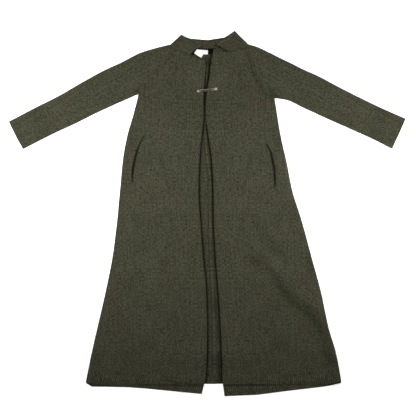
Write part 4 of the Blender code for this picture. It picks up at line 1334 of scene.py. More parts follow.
@dataclass
class Front:
    """A front of the coat, from the neckline to its hem band, with its pocket slit."""

    side: Side
    row_step: float = 5.0
    column_step: float = 4.6
    slit_width: float = 7.0
    slit_tip: float = 1.4
    neck_fade: float = 60.0
    bead: float = 0.7
    flat: tuple[float, float] = (0.43, 1.17)
    area: float = 0.335

    def levels(self) -> tuple[Array, int]:
        """The rows of the front.

        Returns:
            The heights, and the number of rows down to the armpit's.
        """
        yoke, skirt, slit = YOKE[self.side], SKIRT[self.side], POCKET[self.side]
        high = divide([yoke[0].edge_y, yoke[-1].edge_y], self.row_step)
        stops = [skirt[0].edge_y, skirt[0].edge_y - LAY.pit_run, slit[0].y, slit[-1].y, skirt[-2].edge_y]
        low = divide(stops, self.row_step)
        return np.concatenate([high, low[1:]]), len(high)

    def edges(self, levels: Array, yoke_count: int) -> tuple[Array, Array]:
        """The seam line and the front edge, row by row.

        Args:
            levels: front-edge heights of the rows.
            yoke_count: number of rows down to the armpit's.

        Returns:
            The seam's points and the front edge's.
        """
        high, low = levels[:yoke_count], levels[yoke_count:]
        seam = np.vstack([
            at_levels(YOKE[self.side], "seam_x", "seam_y", high),
            at_levels(SKIRT[self.side], "side_x", "side_y", low),
        ])
        edge = np.vstack([
            at_levels(YOKE[self.side], "edge_x", "edge_y", high),
            at_levels(SKIRT[self.side], "edge_x", "edge_y", low),
        ])
        return seam, edge

    def shares(self, levels: Array, starts: Array, edges: Array) -> tuple[Array, int]:
        """Places of the columns as shares of each row, and the column whose cells hold the slit.

        Args:
            levels: front-edge heights of the rows.
            starts: where each row starts to lie flat.
            edges: where each row ends.

        Returns:
            One row of shares per level, and the slit's column.
        """
        slit = np.array(POCKET[self.side], float)
        heights = np.clip(levels, slit[-1, 1], slit[0, 1])
        centre = x_at(slit, heights)
        side_x = at_levels(SKIRT[self.side], "side_x", "side_y", heights)[:, 0]
        edge_x = at_levels(SKIRT[self.side], "edge_x", "edge_y", heights)[:, 0]
        start_x = side_x - self.side.value * LAY.inset
        share = (centre - start_x) / (edge_x - start_x)
        length = np.linalg.norm(edges - starts, axis=-1)
        along = (slit[0, 1] - heights) / (slit[0, 1] - slit[-1, 1])
        open_share = np.sin(math.pi * along ** SLIT_WIDEST[self.side])
        half = 0.5 * (self.slit_tip + (self.slit_width - self.slit_tip) * open_share) / length
        neck = (NECK_BEND[self.side].x - starts[0, 0]) / (edges[0, 0] - starts[0, 0])
        keys = np.stack([0 * share, share - half, share + half, 0 * share + neck, 0 * share + 1], axis=-1)
        spans = np.diff(keys, axis=1)
        widest = spans.max(axis=0) * length.max()
        counts = [1 if k == 1 else max(2, math.ceil(widest[k] / self.column_step)) for k in range(4)]
        parts = [
            keys[:, k, None] + spans[:, k, None] * np.arange(count) / count for k, count in enumerate(counts)
        ]
        return np.concatenate([*parts, keys[:, 4:]], axis=1), counts[0]

    def build(self, wardrobe: Wardrobe) -> None:
        """Makes the front: flat over the back, curled down at its side seam, open at its slit.

        Args:
            wardrobe: what dresses it.
        """
        levels, yoke_count = self.levels()
        seam, edge = self.edges(levels, yoke_count)
        pit = levels[yoke_count - 1]
        amount = blend_in(levels, pit, pit - LAY.pit_run)
        outward = panel_outward(seam, unit(seam - edge), amount, yoke_count, self.side)
        inner = seam - outward * LAY.inset
        shares, slit_column = self.shares(levels, inner, edge)
        plan = inner[:, None] + (edge - inner)[:, None] * shares[..., None]
        neckline = (YOKE[self.side][0][2:4], NECK_BEND[self.side], YOKE[self.side][0][0:2])
        near_neck = 1 - blend_in(levels, levels[0], levels[0] - self.neck_fade)
        plan[..., 1] += near_neck[:, None] * bow(neckline, plan[0, :, 0])
        flat = at_height(plan, LAY.upper(plan))
        curled, curled_up = LAY.curl(seam, plan[:, 0], outward, flat[:, 0, 2], amount)
        mid = np.concatenate([curled, flat], axis=1)
        normal = np.concatenate([curled_up, up_like(flat)], axis=1)
        wall = Wall.of(mid, normal, arc_uv(mid, levels, -1))
        middle = (levels[1:] + levels[:-1]) / 2
        slit = POCKET[self.side]
        wall.open_cells[(middle < slit[0].y) & (middle > slit[-1].y), curled.shape[1] + slit_column] = True
        wall.streak(STREAKS)
        wall.sew(PANEL_SEAM, Edge.FIRST_COLUMN)
        wall.sew(NECK_SEAM, Edge.FIRST_ROW)
        wall.sew(FLUSH_SEAM, Edge.LAST_ROW)
        wall.soften(Edge.LAST_COLUMN, bead=self.bead)
        # Painted shade along the front's rolled edge and about its pocket slit.
        wall.darken_beside([edge], 0.4, 2.2)
        wall.darken_beside([np.array(slit, float)], 0.55, 3.8)
        wall.darken_beside([np.array(slit[2:-1], float)], 0.5, 4.4)
        piece = wall.build(f"cloth_front_{self.side.word}")
        wardrobe.dress(piece, Finish.KNIT, f"front_{self.side.word}")


@dataclass
class HemBand:
    """The ribbed band below a front; past the back's hem it comes down to the surface."""

    side: Side
    ribs: int = 60
    rib_columns: int = 6
    rib_height: float = 1.3
    fade_in: float = 0.3
    rib_tone: float = 0.8
    rib_round: float = 0.8
    rib_mean: float = 0.35
    tone_mean: float = 0.62
    rim_dark: float = 0.85
    rim_reach: float = 4.6
    rim_overlap: tuple[float, float] = (10.0, 22.0)
    slope_light: float = 0.22
    slope_lit: tuple[float, float] = (150.0, 215.0)
    rows: int = 40
    curls: int = 6
    drop_shares: tuple[float, float] = (0.25, 0.6)
    drop_longest: float = 0.6
    flat: tuple[float, float] = (0.43, 0.06)
    area: float = 0.0245

    def shares(self, top_y: Array, hem_y: Array, x: Array) -> Array:
        """Shares of the way down the band, closer together where it comes off the back's hem.

        Args:
            top_y: height of the band's top at each column.
            hem_y: height of its hem there.
            x: the columns' places.

        Returns:
            One row of shares per row of the band.
        """
        off = (top_y - back_hem_y(x) + 1) / (top_y - hem_y)
        first = np.clip(off, *self.drop_shares)
        second = first + np.minimum(LAY.hem_drop_run / (top_y - hem_y), (1 - first) * self.drop_longest)
        keys = np.stack([0 * first, first, second, 0 * first + 1])
        place = np.linspace(0, 3, self.rows)
        low = np.minimum(place.astype(int), 2)
        part = (place - low)[:, None]
        return keys[low] * (1 - part) + keys[low + 1] * part

    def build(self, wardrobe: Wardrobe) -> None:
        """Makes the band: rounded ribs on the outer face, a plain inside.

        Across the ribs the height is the size of a sine to a power: round ribs and sharp valleys.

        Args:
            wardrobe: what dresses it.
        """
        top, hem = SKIRT[self.side][-2], SKIRT[self.side][-1]
        curls, count = self.curls, self.ribs * self.rib_columns
        lines = []
        for row in (top, hem):
            seam, edge = np.array(row[0:2], float), np.array(row[2:4], float)
            inner = seam + unit(edge - seam) * LAY.inset
            start = seam + (inner - seam) * (np.arange(curls) / curls)[:, None]
            lines.append(np.vstack([start, inner + (edge - inner) * np.linspace(0, 1, count + 1)[:, None]]))
        high, low = lines
        low[:, 1] += bow(FRONT_HEM[self.side], low[:, 0])
        shares = self.shares(high[:, 1], low[:, 1], low[:, 0])
        shares[:, :curls] = shares[:, curls:curls + 1]
        plan = high + (low - high) * shares[..., None]
        seam, inner = plan[:, 0], plan[:, curls]
        flat = at_height(plan[:, curls:], LAY.upper(plan[:, curls:]))
        seam_z = np.maximum(flat[:, 0, 2], LAY.seam_height + 1.0)
        curled, curled_up = LAY.curl(seam, inner, unit(seam - inner), seam_z, np.ones(len(seam)), curls)
        mid = np.concatenate([curled, flat], axis=1)
        normal = np.concatenate([curled_up, up_like(flat)], axis=1)
        along = np.linspace(0, np.linalg.norm(np.array(top[2:4]) - np.array(hem[2:4])), self.rows)
        wall = Wall.of(mid, normal, arc_uv(mid, -along, -1))
        rib = np.abs(np.sin(math.pi * np.arange(count + 1) / self.rib_columns)) ** self.rib_round
        grown = ease(shares[:, curls:] / self.fade_in)
        wall.raise_out[:, curls:] += self.rib_height * (rib - self.rib_mean) * grown
        wall.streak(STREAKS)
        # Painted shade in the ribs' valleys and painted light on their crests.
        wall.shade[:, curls:] *= 1 + self.rib_tone * (rib - self.tone_mean) * grown
        # Painted shadow along the hem edge, where the back's hem lies just below it.
        rim = (low[:, 1] - plan[..., 1]) / self.rim_reach
        least, most = self.rim_overlap
        thin = ease((most - back_hem_y(low[:, 0]) + low[:, 1]) / (most - least))
        wall.shade *= 1 - self.rim_dark * np.exp(-(rim**2)) * thin
        # Painted light on the slope where the band comes down off the back's hem, towards its outer end.
        past = back_hem_y(plan[..., 0]) - plan[..., 1]
        slope = ease(past / 3) * ease((LAY.hem_drop_run + 2 - past) / 4)
        near, far = self.slope_lit
        lit = ease((self.side.value * plan[..., 0] - near) / (far - near))
        wall.shade *= 1 + self.slope_light * lit * slope
        wall.sew(BAND_SIDE_SEAM, Edge.FIRST_COLUMN)
        wall.sew(FLUSH_SEAM, Edge.FIRST_ROW)
        wall.soften(Edge.LAST_COLUMN, Edge.LAST_ROW)
        piece = wall.build(f"cloth_hem_front_{self.side.word}")
        wardrobe.dress(piece, Finish.RIB, f"hem_front_{self.side.word}")


def seam_hump(away: Array) -> Array:
    """Share of the seam ridge's height at distances from the seam: two allowances and a groove."""
    return ease((6.2 - away) / 1.4) - 0.6 * np.exp(-((away / 0.9) ** 2))


@dataclass
class Back:
    """A back half, flat on the surface, with its share of the centre-back seam."""

    side: Side
    row_step: float = 9.0
    wide_columns: int = 26
    ridge_light: float = 0.26
    ridge_fade: float = 30.0
    between: float = 0.88
    swell: Swell = Swell(0.12, 14, 60, 5)
    flat: tuple[float, float] = (0.45, 1.12)
    area: float = 0.345

    def build(self, wardrobe: Wardrobe) -> None:
        """Makes the back half: curled up at its side seam, raised inside along the centre seam.

        Args:
            wardrobe: what dresses it.
        """
        yoke, sides = YOKE[self.side], columns(SKIRT[self.side], "side_x", "side_y")
        high_levels = divide([yoke[0].edge_y, yoke[-1].edge_y], self.row_step)
        high = at_levels(yoke, "back_x", "back_y", high_levels)
        pit = sides[0, 1]
        low_y = divide([pit, pit - LAY.pit_run, BAND_TOP], self.row_step)[1:]
        low = np.stack([x_at(sides, low_y), low_y], axis=-1)
        seam = np.vstack([high, low])
        middle = sum(SKIRT[s][0].side_y for s in Side) / 2
        low_centre = middle + (low_y - pit) * (BAND_TOP - middle) / (BAND_TOP - pit)
        centre_y = np.concatenate([np.linspace(CENTRE_BACK[0].y, middle, len(high)), low_centre])
        centre = np.stack([x_at(CENTRE_BACK, centre_y), centre_y], axis=-1)
        amount = np.concatenate([np.zeros(len(high)), blend_in(low_y, pit, pit - LAY.pit_run)])
        outward = panel_outward(seam, unit(seam - centre), amount, len(high), self.side)
        inner = seam - outward * LAY.inset
        length = np.linalg.norm(centre - inner, axis=-1)[:, None]
        near = np.concatenate([np.arange(62, 8, -1.5), RIDGE_STEPS])
        wide = np.linspace(0, 1, self.wide_columns)[:-1] * (1 - near[0] / length)
        shares = np.concatenate([wide, 1 - near / length], axis=1)
        plan = inner[:, None] + (centre - inner)[:, None] * shares[..., None]
        flat = at_height(plan, LAY.low_mid)
        curled, curled_down = LAY.curl(seam, inner, outward, flat[:, 0, 2], amount)
        mid = np.concatenate([curled, flat], axis=1)
        normal = np.concatenate([curled_down, up_like(flat, -1)], axis=1)
        wall = Wall.of(mid, normal, arc_uv(mid, centre_y, -1))
        from_centre = np.linalg.norm(mid[:, -near.size:, :2] - centre[:, None], axis=-1)
        fade = ease(np.arange(len(mid)) * self.row_step / self.ridge_fade - 0.6)[:, None]
        wall.raise_in[:, -near.size:] += RIDGE_RISE * seam_hump(from_centre) * fade
        # Painted shade over the back's inner face, which lies under the fronts.
        wall.shade *= self.between
        # Painted highlight on the seam ridge and painted shade beside it.
        seam_tone = self.ridge_light * np.exp(-((from_centre / 3.4) ** 2))
        seam_tone -= SEAM_SHADOW[self.side] * np.exp(-(((from_centre - 6.4) / 2.2) ** 2))
        wall.shade[:, -near.size:] *= 1 + seam_tone * fade
        wall.streak(GAP_STREAKS)
        wall.raise_in += LAY.ripple(plan_of(mid), self.swell)
        wall.sew(BACK_SEAM, Edge.FIRST_COLUMN, Edge.LAST_COLUMN)
        wall.sew(FLUSH_SEAM, Edge.FIRST_ROW, Edge.LAST_ROW)
        wall.darken_beside([opening_line(self.side)], *EDGE_SHADOW[self.side])
        piece = wall.build(f"cloth_back_{self.side.word}")
        wardrobe.dress(piece, Finish.KNIT, f"back_{self.side.word}")


def opening_line(side: Side) -> Array:
    """A front's free edge, from its top corner down to the hem.

    Args:
        side: the front's side.

    Returns:
        Points of the edge.
    """
    yoke, skirt = YOKE[side], SKIRT[side]
    high = at_levels(yoke, "edge_x", "edge_y", np.linspace(yoke[0].edge_y, yoke[-1].edge_y, 12))
    low = at_levels(skirt, "edge_x", "edge_y", np.linspace(skirt[0].edge_y, skirt[-1].edge_y, 50))
    return np.vstack([high, low[1:]])


@dataclass
class BackHem:
    """The back's hem band, from side seam to side seam."""

    steps: int = 560
    rows: int = 10
    height: float = 55.0
    shadow: tuple[float, float] = (0.88, 5.4)
    flat: tuple[float, float] = (0.91, 0.056)
    area: float = 0.0505

    def build(self, wardrobe: Wardrobe) -> None:
        """Makes the band flat on the surface, curled up at both side seams.

        Args:
            wardrobe: what dresses it.
        """
        shares = np.linspace(0, 1, self.rows)
        hem = np.array(BACK_HEM, float)
        inners, turned = {}, {}
        for side, corner in zip(Side, (hem[0], hem[-1])):
            sides = columns(SKIRT[side], "side_x", "side_y")
            y = BAND_TOP + shares * (corner[1] - BAND_TOP)
            seam = np.stack([x_at(sides, y), y], axis=-1)
            outward = np.tile([side.value, 0.0], (len(y), 1))
            inners[side] = seam - outward * LAY.inset
            low = np.full(len(y), LAY.low_mid)
            turned[side] = LAY.curl(seam, inners[side], outward, low, np.ones(len(y)))
        left, right = inners[Side.LEFT], inners[Side.RIGHT]
        plan = left[:, None] + (right - left)[:, None] * np.linspace(0, 1, self.steps + 1)[:, None]
        plan[..., 1] += shares[:, None] * bow(BACK_HEM, plan[..., 0])
        flat = at_height(plan, LAY.low_mid)
        (mid_l, out_l), (mid_r, out_r) = turned[Side.LEFT], turned[Side.RIGHT]
        mid = np.concatenate([mid_l, flat, mid_r[:, ::-1]], axis=1)
        normal = np.concatenate([out_l, up_like(flat, -1), out_r[:, ::-1]], axis=1)
        wall = Wall.of(mid, normal, arc_uv(mid, -shares * self.height))
        wall.raise_in += RIDGE_RISE * seam_hump(np.abs(mid[..., 0] - x_at(CENTRE_BACK, mid[..., 1])))
        wall.sew(BACK_BAND_SEAM, Edge.FIRST_COLUMN, Edge.LAST_COLUMN, Edge.FIRST_ROW)
        wall.soften(Edge.LAST_ROW)
        wall.streak(GAP_STREAKS)
        wall.darken_beside([opening_line(side) for side in Side], *self.shadow)
        piece = wall.build("cloth_hem_back")
        wardrobe.dress(piece, Finish.RIB, "hem_back")


def fold_section(
    seam: Array, fold: Array, back_seam: Array, outward: Array, seam_out: Array, back_out: Array,
    amount: Array, counts: tuple[int, int, int],
) -> tuple[Array, Array, int]:
    """Lines of a folded tube: front seam, upper layer, fold, lower layer and back seam.

    Args:
        seam: front seam points.
        fold: points of the folded edge.
        back_seam: back seam points.
        outward: directions away from the folded edge.
        seam_out: directions away from the front seam.
        back_out: directions away from the back seam.
        amount: how far each row is curled at its seams.
        counts: columns of the upper layer, the fold and the lower layer.

    Returns:
        Middle points, outward directions and the number of columns up to the fold.
    """
    seam_in, back_in = seam - seam_out * LAY.inset, back_seam - back_out * LAY.inset
    fold_in = fold - outward * LAY.inset
    front_at, back_at = (np.linspace(0, 1, n + 1)[:, None] for n in (counts[0], counts[2]))
    front_plan = seam_in[:, None] + (fold_in - seam_in)[:, None] * front_at
    front = at_height(front_plan, LAY.upper(front_plan))
    back = at_height(fold_in[:, None] + (back_in - fold_in)[:, None] * back_at, LAY.low_mid)
    low = np.full(len(seam), LAY.low_mid)
    angles = np.linspace(0, math.pi, counts[1] + 1)[1:-1]
    turned = LAY.bend(front[:, -1, 2], low, fold_in, outward, angles)
    first = LAY.curl(seam, seam_in, seam_out, front[:, 0, 2], amount)
    last = LAY.curl(back_seam, back_in, back_out, low, amount)
    mid = np.concatenate([first[0], front, turned[0], back, last[0][:, ::-1]], axis=1)
    normal = np.concatenate(
        [first[1], up_like(front), turned[1], up_like(back, -1), last[1][:, ::-1]], axis=1
    )
    return mid, normal, first[0].shape[1] + front.shape[1]


def collar_fold_outward(side: Side) -> Array:
    """Direction away from the coat along the collar's side fold."""
    fold = unit(np.array(COLLAR_TOP[side]["fold"], float) - np.array(YOKE[side][0][4:6], float))
    return side.value * np.array([fold[1], -fold[0]])


def collar_end(side: Side, t: float | Array) -> Array:
    """Places on a collar end's bowed free edge.

    They are the straight line plus a bow of four times t times 1 less t.

    Args:
        side: the end's side.
        t: 0 at the neckline and 1 at the top corner.

    Returns:
        The places, with x and y last.
    """
    low, high = np.array(NECK_BEND[side], float), np.array(COLLAR_TOP[side]["end"], float)
    run = high - low
    outward = side.value * unit([run[1], -run[0]])
    t = np.asarray(t, float)[..., None]
    return low + t * run + outward * END_BOW[side] * 4 * t * (1 - t)


def neck_fold_outward(side: Side) -> Array:
    """Direction between a sleeve's top edge and the collar's side fold, where the two meet."""
    sleeve = outward_of(columns(YOKE[side], "top_x", "top_y")[:2], side)[0]
    return unit(sleeve + collar_fold_outward(side))


@dataclass
class Sleeve:
    """A raglan sleeve, folded along the arm's top line and sewn under the arm."""

    side: Side
    cuff_bow: float
    step: float = 5.0
    pit_rows: tuple[float, ...] = (0.05, 0.1, 0.2)
    arm_rows: int = 108
    curl_run: float = 0.1
    counts: tuple[int, int, int] = (26, 12, 16)
    flat: tuple[float, float] = (0.30, 0.72)
    area: float = 0.15

    def build(self, wardrobe: Wardrobe) -> None:
        """Makes the sleeve from the neck over the shoulder to the cuff.

        Args:
            wardrobe: what dresses it.
        """
        yoke, arm = YOKE[self.side], ARM[self.side]
        levels = divide([yoke[0].edge_y, yoke[-1].edge_y], self.step)
        fold = at_levels(yoke, "top_x", "top_y", levels)
        seam = at_levels(yoke, "seam_x", "seam_y", levels)
        back_seam = at_levels(yoke, "back_x", "back_y", levels)
        stations = np.concatenate([self.pit_rows, np.linspace(0.3, len(arm) - 1, self.arm_rows)])
        arm_under = through(columns(arm, "under_x", "under_y"), stations)
        fold = np.vstack([fold, through(columns(arm, "top_x", "top_y"), stations)])
        seam = np.vstack([seam, arm_under])
        back_seam = np.vstack([back_seam, arm_under])
        amount = np.concatenate([np.zeros(len(levels)), ease(stations / self.curl_run)])
        outward = outward_of(fold, self.side)
        outward[0] = neck_fold_outward(self.side)
        under_out = -outward_past_armpit(seam, len(levels), self.side)
        keep = amount[:, None]
        seam_out = unit((1 - keep) * unit(seam - fold) + keep * under_out)
        back_out = unit((1 - keep) * unit(back_seam - fold) + keep * under_out)
        mid, normal, fold_column = fold_section(
            seam, fold, back_seam, outward, seam_out, back_out, amount, self.counts
        )
        width = seam[-1] - fold[-1]
        across = np.clip((mid[-1, :, :2] - fold[-1]) @ width / (width @ width), 0, 1)
        mid[-1, :, :2] += (4 * across * (1 - across) * self.cuff_bow)[:, None] * unit(fold[-1] - fold[-2])
        along = np.concatenate([[0], np.cumsum(np.linalg.norm(np.diff(fold, axis=0), axis=-1))])
        wall = Wall.of(mid, normal, arc_uv(mid, -along, fold_column))
        wall.streak(STREAKS)
        wall.sew(PANEL_SEAM, Edge.FIRST_COLUMN, Edge.LAST_COLUMN)
        wall.sew(NECK_SEAM, Edge.FIRST_ROW)
        wall.soften(Edge.LAST_ROW)
        piece = wall.build(f"cloth_sleeve_{self.side.word}")
        wardrobe.dress(piece, Finish.KNIT, f"sleeve_{self.side.word}")


@dataclass
class Collar:
    """The stand collar: one band whose front ends lie over its back half, folded at both sides."""

    rows: int = 34
    end_steps: int = 30
    counts: tuple[int, int, int] = (10, 12, 26)
    back_steps: int = 64
    tip_run: float = 60.0
    left_lift: float = 1.0
    right_lift: float = 2.6
    height: float = 55.0
    end_shadow: tuple[float, float] = (0.75, 4.2)
    behind_tone: float = 0.9
    behind_warm: float = 0.8
    warm_middle: float = 3.0
    warm_reach: float = 30.0
    warm_fade: float = 8.0
    stripe: float = 9.0
    stripe_tone: float = 0.12
    flat: tuple[float, float] = (0.49, 0.06)
    area: float = 0.0215

    def half(self, side: Side, t: float) -> dict[str, Array]:
        """One side of one line of the band, from its front end to its back seam.

        Args:
            side: which side.
            t: 0 at the base of the collar and 1 at its top edge.

        Returns:
            The line's points and outward directions.
        """
        first, top = YOKE[side][0], COLLAR_TOP[side]
        seam, fold, back_seam = (np.array([first[k:k + 2]], float) for k in (2, 4, 6))
        top_end, top_fold, top_back = (np.array(top[k], float) for k in ("end", "fold", "back"))
        top_front = top_fold + unit(top_end - top_fold) * np.linalg.norm(seam[0] - fold[0])
        blend = min(1.0, 2 * t)
        outward = unit((1 - blend) * neck_fold_outward(side)[None] + blend * collar_fold_outward(side))
        mid, normal, fold_column = fold_section(
            seam + t * (top_front - seam), fold + t * (top_fold - fold),
            back_seam + t * (top_back - back_seam), outward,
            unit((1 - t) * unit(seam - fold) + t * unit(top_end - top_fold)),
            unit((1 - t) * unit(back_seam - fold) + t * unit(top_back - top_fold)),
            np.zeros(1), self.counts,
        )
        end = collar_end(side, t)
        share = np.linspace(0, 1, self.end_steps + 1)[:-1, None]
        plan = end + (mid[0, 0, :2] - end) * share
        line = np.vstack([at_height(plan, LAY.upper(plan)), mid[0]])
        count = len(plan) + fold_column
        from_end = np.linalg.norm(line[:count, :2] - end, axis=-1)
        lift = self.left_lift if side is Side.LEFT else self.right_lift
        line[:count, 2] += t * lift * np.maximum(1 - from_end / self.tip_run, 0) ** 2
        return {"line": line, "up": np.vstack([up_like(line[:len(plan)]), normal[0]]), "count": count}

    def build(self, wardrobe: Wardrobe) -> None:
        """Makes the band, line by line from its base to its top edge.

        Args:
            wardrobe: what dresses it.
        """
        mids, normals = [], []
        for t in np.linspace(0, 1, self.rows):
            left, right = self.half(Side.LEFT, t), self.half(Side.RIGHT, t)
            base, top = np.array(CENTRE_BACK[0], float), np.array(COLLAR_TOP_CENTRE, float)
            centre = base + t * (top - base)
            share = np.linspace(0, 1, self.back_steps // 2 + 1)[1:, None]
            from_left, to_right = left["line"][-1, :2], right["line"][-1, :2]
            to_centre = from_left + (centre - from_left) * share
            across = np.vstack([to_centre, centre + (to_right - centre) * share])[:-1]
            behind = at_height(across, LAY.low_mid)
            mids.append(np.vstack([left["line"], behind, right["line"][::-1]]))
            normals.append(np.vstack([left["up"], up_like(behind, -1), right["up"][::-1]]))
        mid, normal = np.array(mids), np.array(normals)
        wall = Wall.of(mid, normal, arc_uv(mid, np.linspace(0, self.height, self.rows), mid.shape[1] // 2))
        over = left["count"]
        behind = plan_of(mid[:, over:-over])
        beside = distance_to_lines(behind, [collar_end(side, np.linspace(0, 1, 9)) for side in Side])
        wall.streak(STREAKS)
        # Painted shade over the back half inside the neck, and a painted shadow beside the collar's free
        # ends.
        dark, reach = self.end_shadow
        wall.shade[:, over:-over] *= self.behind_tone * (1 - dark * np.exp(-((beside / reach) ** 2)))
        inside = ease((self.warm_reach - np.abs(behind[..., 0] - self.warm_middle)) / self.warm_fade)
        wall.warm[:, over:-over] = self.behind_warm * inside
        # Stripes of painted shade and light for the ribs inside the stand.
        stripes = np.sin(2 * math.pi * behind[..., 0] / self.stripe)
        wall.shade[:, over:-over] *= 1 + self.stripe_tone * inside * stripes
        wall.sew(NECK_SEAM, Edge.FIRST_ROW)
        wall.soften(Edge.LAST_ROW, Edge.FIRST_COLUMN, Edge.LAST_COLUMN)
        piece = wall.build("cloth_collar")
        wardrobe.dress(piece, Finish.KNIT, "collar")


def plate(name: str, outline: Array, base: float, thick: float) -> Piece:
    """A thin flat piece with a softened rim: rings of the outline drawn in towards its middle.

    Args:
        name: name of the piece.
        outline: its outline, seen from above.
        base: height of its underside.
        thick: its thickness.

    Returns:
        The object.
    """
    middle = outline.mean(axis=0)
    rings = []
    for inset, height in ((0.0, 0.0), (0.0, 0.75), (0.12, 1.0), (4.0, 1.0), (9.0, 1.0)):
        reach = np.linalg.norm(outline - middle, axis=-1, keepdims=True)
        ring = middle + (outline - middle) * np.maximum(1 - inset / reach, 0.2)
        rings.append(at_height(ring, base + thick * height))
    under, over = (np.array([*middle, z]) for z in (base, base + thick))
    return ring_mesh(name, np.array(rings), under, over, mapped=True)


def rounded(corners: Array, radius: float, steps: int = 3) -> Array:
    """A polygon's outline with its corners rounded by small parabolas.

    Args:
        corners: its corners.
        radius: how far from a corner its parabola starts.
        steps: stretches round a corner.

    Returns:
        The outline's points.
    """
    corners = np.asarray(corners, float)
    points = []
    for before, corner, after in zip(np.roll(corners, 1, axis=0), corners, np.roll(corners, -1, axis=0)):
        start, end = corner + unit(before - corner) * radius, corner + unit(after - corner) * radius
        t = np.linspace(0, 1, steps + 1)[:, None]
        points.append((1 - t) ** 2 * start + 2 * t * (1 - t) * corner + t**2 * end)
    return np.vstack(points)


@dataclass
class PocketBag:
    """The layer of a pocket's bag that shows through its slit; its near-black knit is painted shade inside
    the pocket.
    """

    side: Side
    depth: float = 135.0
    overlap: float = 14.0
    below: float = 55.0
    above: float = 12.0
    top_inset: float = 30.0
    corner: float = 5.0
    base: float = 2.9
    thick: float = 1.0
    flat: tuple[float, float] = (0.155, 0.22)
    area: float = 0.032

    def build(self, wardrobe: Wardrobe) -> None:
        """Makes the bag's under layer, flat between the front and the back.

        Args:
            wardrobe: what dresses it.
        """
        slit, inward = np.array(POCKET[self.side], float), -self.side.value
        outer = slit + [-inward * self.overlap, 0.0]
        outer[0, 1] += self.above
        low_y = slit[-1, 1] - self.below
        corners = np.vstack([
            outer,
            [[slit[-1, 0] - inward * self.overlap / 2, low_y]],
            [[slit[-1, 0] + inward * self.depth, low_y]],
            [[slit[0, 0] + inward * (self.depth - self.top_inset), slit[0, 1] + self.above]],
        ])
        outline = rounded(corners, self.corner)
        if self.side is Side.RIGHT:
            outline = outline[::-1]
        piece = plate(f"cloth_pocket_bag_{self.side.word}", outline, self.base, self.thick)
        wardrobe.dress(piece, Finish.BAG, f"pocket_bag_{self.side.word}")


@dataclass
class NeckTrim:
    """The tape over the back neck seam and the two bare labels on it."""

    tape_width: float = 20.0
    tape_length: float = 122.0
    tape_steps: int = 41
    tape_base: float = 2.9
    tape_thick: float = 1.0
    tape_rim: float = 0.3
    label_thick: float = 0.6
    label_shadow: tuple[float, float] = (0.97, 2.6)

    def tape(self, wardrobe: Wardrobe) -> None:
        """Makes the tape along the back neckline.

        Args:
            wardrobe: what dresses it.
        """
        line = np.array(TAPE_LINE, float)
        x = np.linspace(line[0, 0], line[-1, 0], self.tape_steps)
        middle = np.stack([x, smooth(line[:, 0], line[:, 1], x)], axis=-1)
        along = unit(np.gradient(middle, axis=0))
        side = np.stack([-along[:, 1], along[:, 0]], axis=-1)
        across = np.array([-1.0, -0.97, -0.5, 0.0, 0.5, 0.97, 1.0]) * self.tape_width / 2
        plan = middle[:, None] + side[:, None] * across[:, None]
        mid = at_height(plan, self.tape_base + self.tape_thick / 2)
        wall = Wall.of(mid, up_like(mid), arc_uv(mid, np.linspace(0, self.tape_length, self.tape_steps)))
        wall.thin(self.tape_thick)
        for rim in (Edge.FIRST_COLUMN, Edge.LAST_COLUMN):
            for face in (wall.raise_out, wall.raise_in):
                wall.line(face, rim)[:] -= self.tape_rim
        piece = wall.build("woven_neck_tape")
        wardrobe.dress(piece, Finish.TAPE, "neck_tape")

    def label(
        self, wardrobe: Wardrobe, node: str, centre: Spot, size: Spot, turn: float, base: float
    ) -> None:
        """Makes one bare label.

        Args:
            wardrobe: what dresses it.
            node: the solid that it stands for.
            centre: its middle.
            size: its width and height.
            turn: its turn in degrees.
            base: height of its underside.
        """
        angle = math.radians(turn)
        turned = np.array([[math.cos(angle), math.sin(angle)], [-math.sin(angle), math.cos(angle)]])
        u, v = np.meshgrid(np.linspace(-0.5, 0.5, 37) * size.x, np.linspace(-0.5, 0.5, 19) * size.y)
        plan = np.stack([u, v], axis=-1)
        mid = at_height(plan @ turned + np.array(centre), base + self.label_thick / 2)
        wall = Wall.of(mid, up_like(mid), plan)
        wall.thin(self.label_thick)
        wall.darken_beside([collar_end(Side.LEFT, np.linspace(0, 1, 9))], *self.label_shadow)
        piece = wall.build(f"woven_{node}")
        wardrobe.dress(piece, Finish.LABEL, node)

    def build(self, wardrobe: Wardrobe) -> None:
        """Makes the tape and both labels.

        Args:
            wardrobe: what dresses it.
        """
        self.tape(wardrobe)
        self.label(wardrobe, "neck_label", Spot(-15.4, 564.4), Spot(35, 15), -4, 4.2)
        self.label(wardrobe, "size_label", Spot(-28.4, 559.6), Spot(29, 18.5), -33, 5.1)


def tube(name: str, path: Array, radius: float, sides: int) -> Piece:
    """A round wire along a path: at each point a circle square to the path, closed at both ends.

    Args:
        name: name of the piece.
        path: points of its centre line.
        radius: the wire's radius.
        sides: points round it.

    Returns:
        The object.
    """
    along = unit(np.gradient(path, axis=0))
    side = np.empty_like(along)
    side[0] = unit(np.cross(along[0], [0.0, 0.0, 1.0]))
    for k in range(1, len(path)):
        side[k] = unit(side[k - 1] - (side[k - 1] @ along[k]) * along[k])
    other = np.cross(along, side)
    angle = np.arange(sides) * 2 * math.pi / sides
    ring = side[:, None] * np.cos(angle)[:, None] + other[:, None] * np.sin(angle)[:, None]
    return ring_mesh(name, path[:, None] + ring * radius, path[0], path[-1])


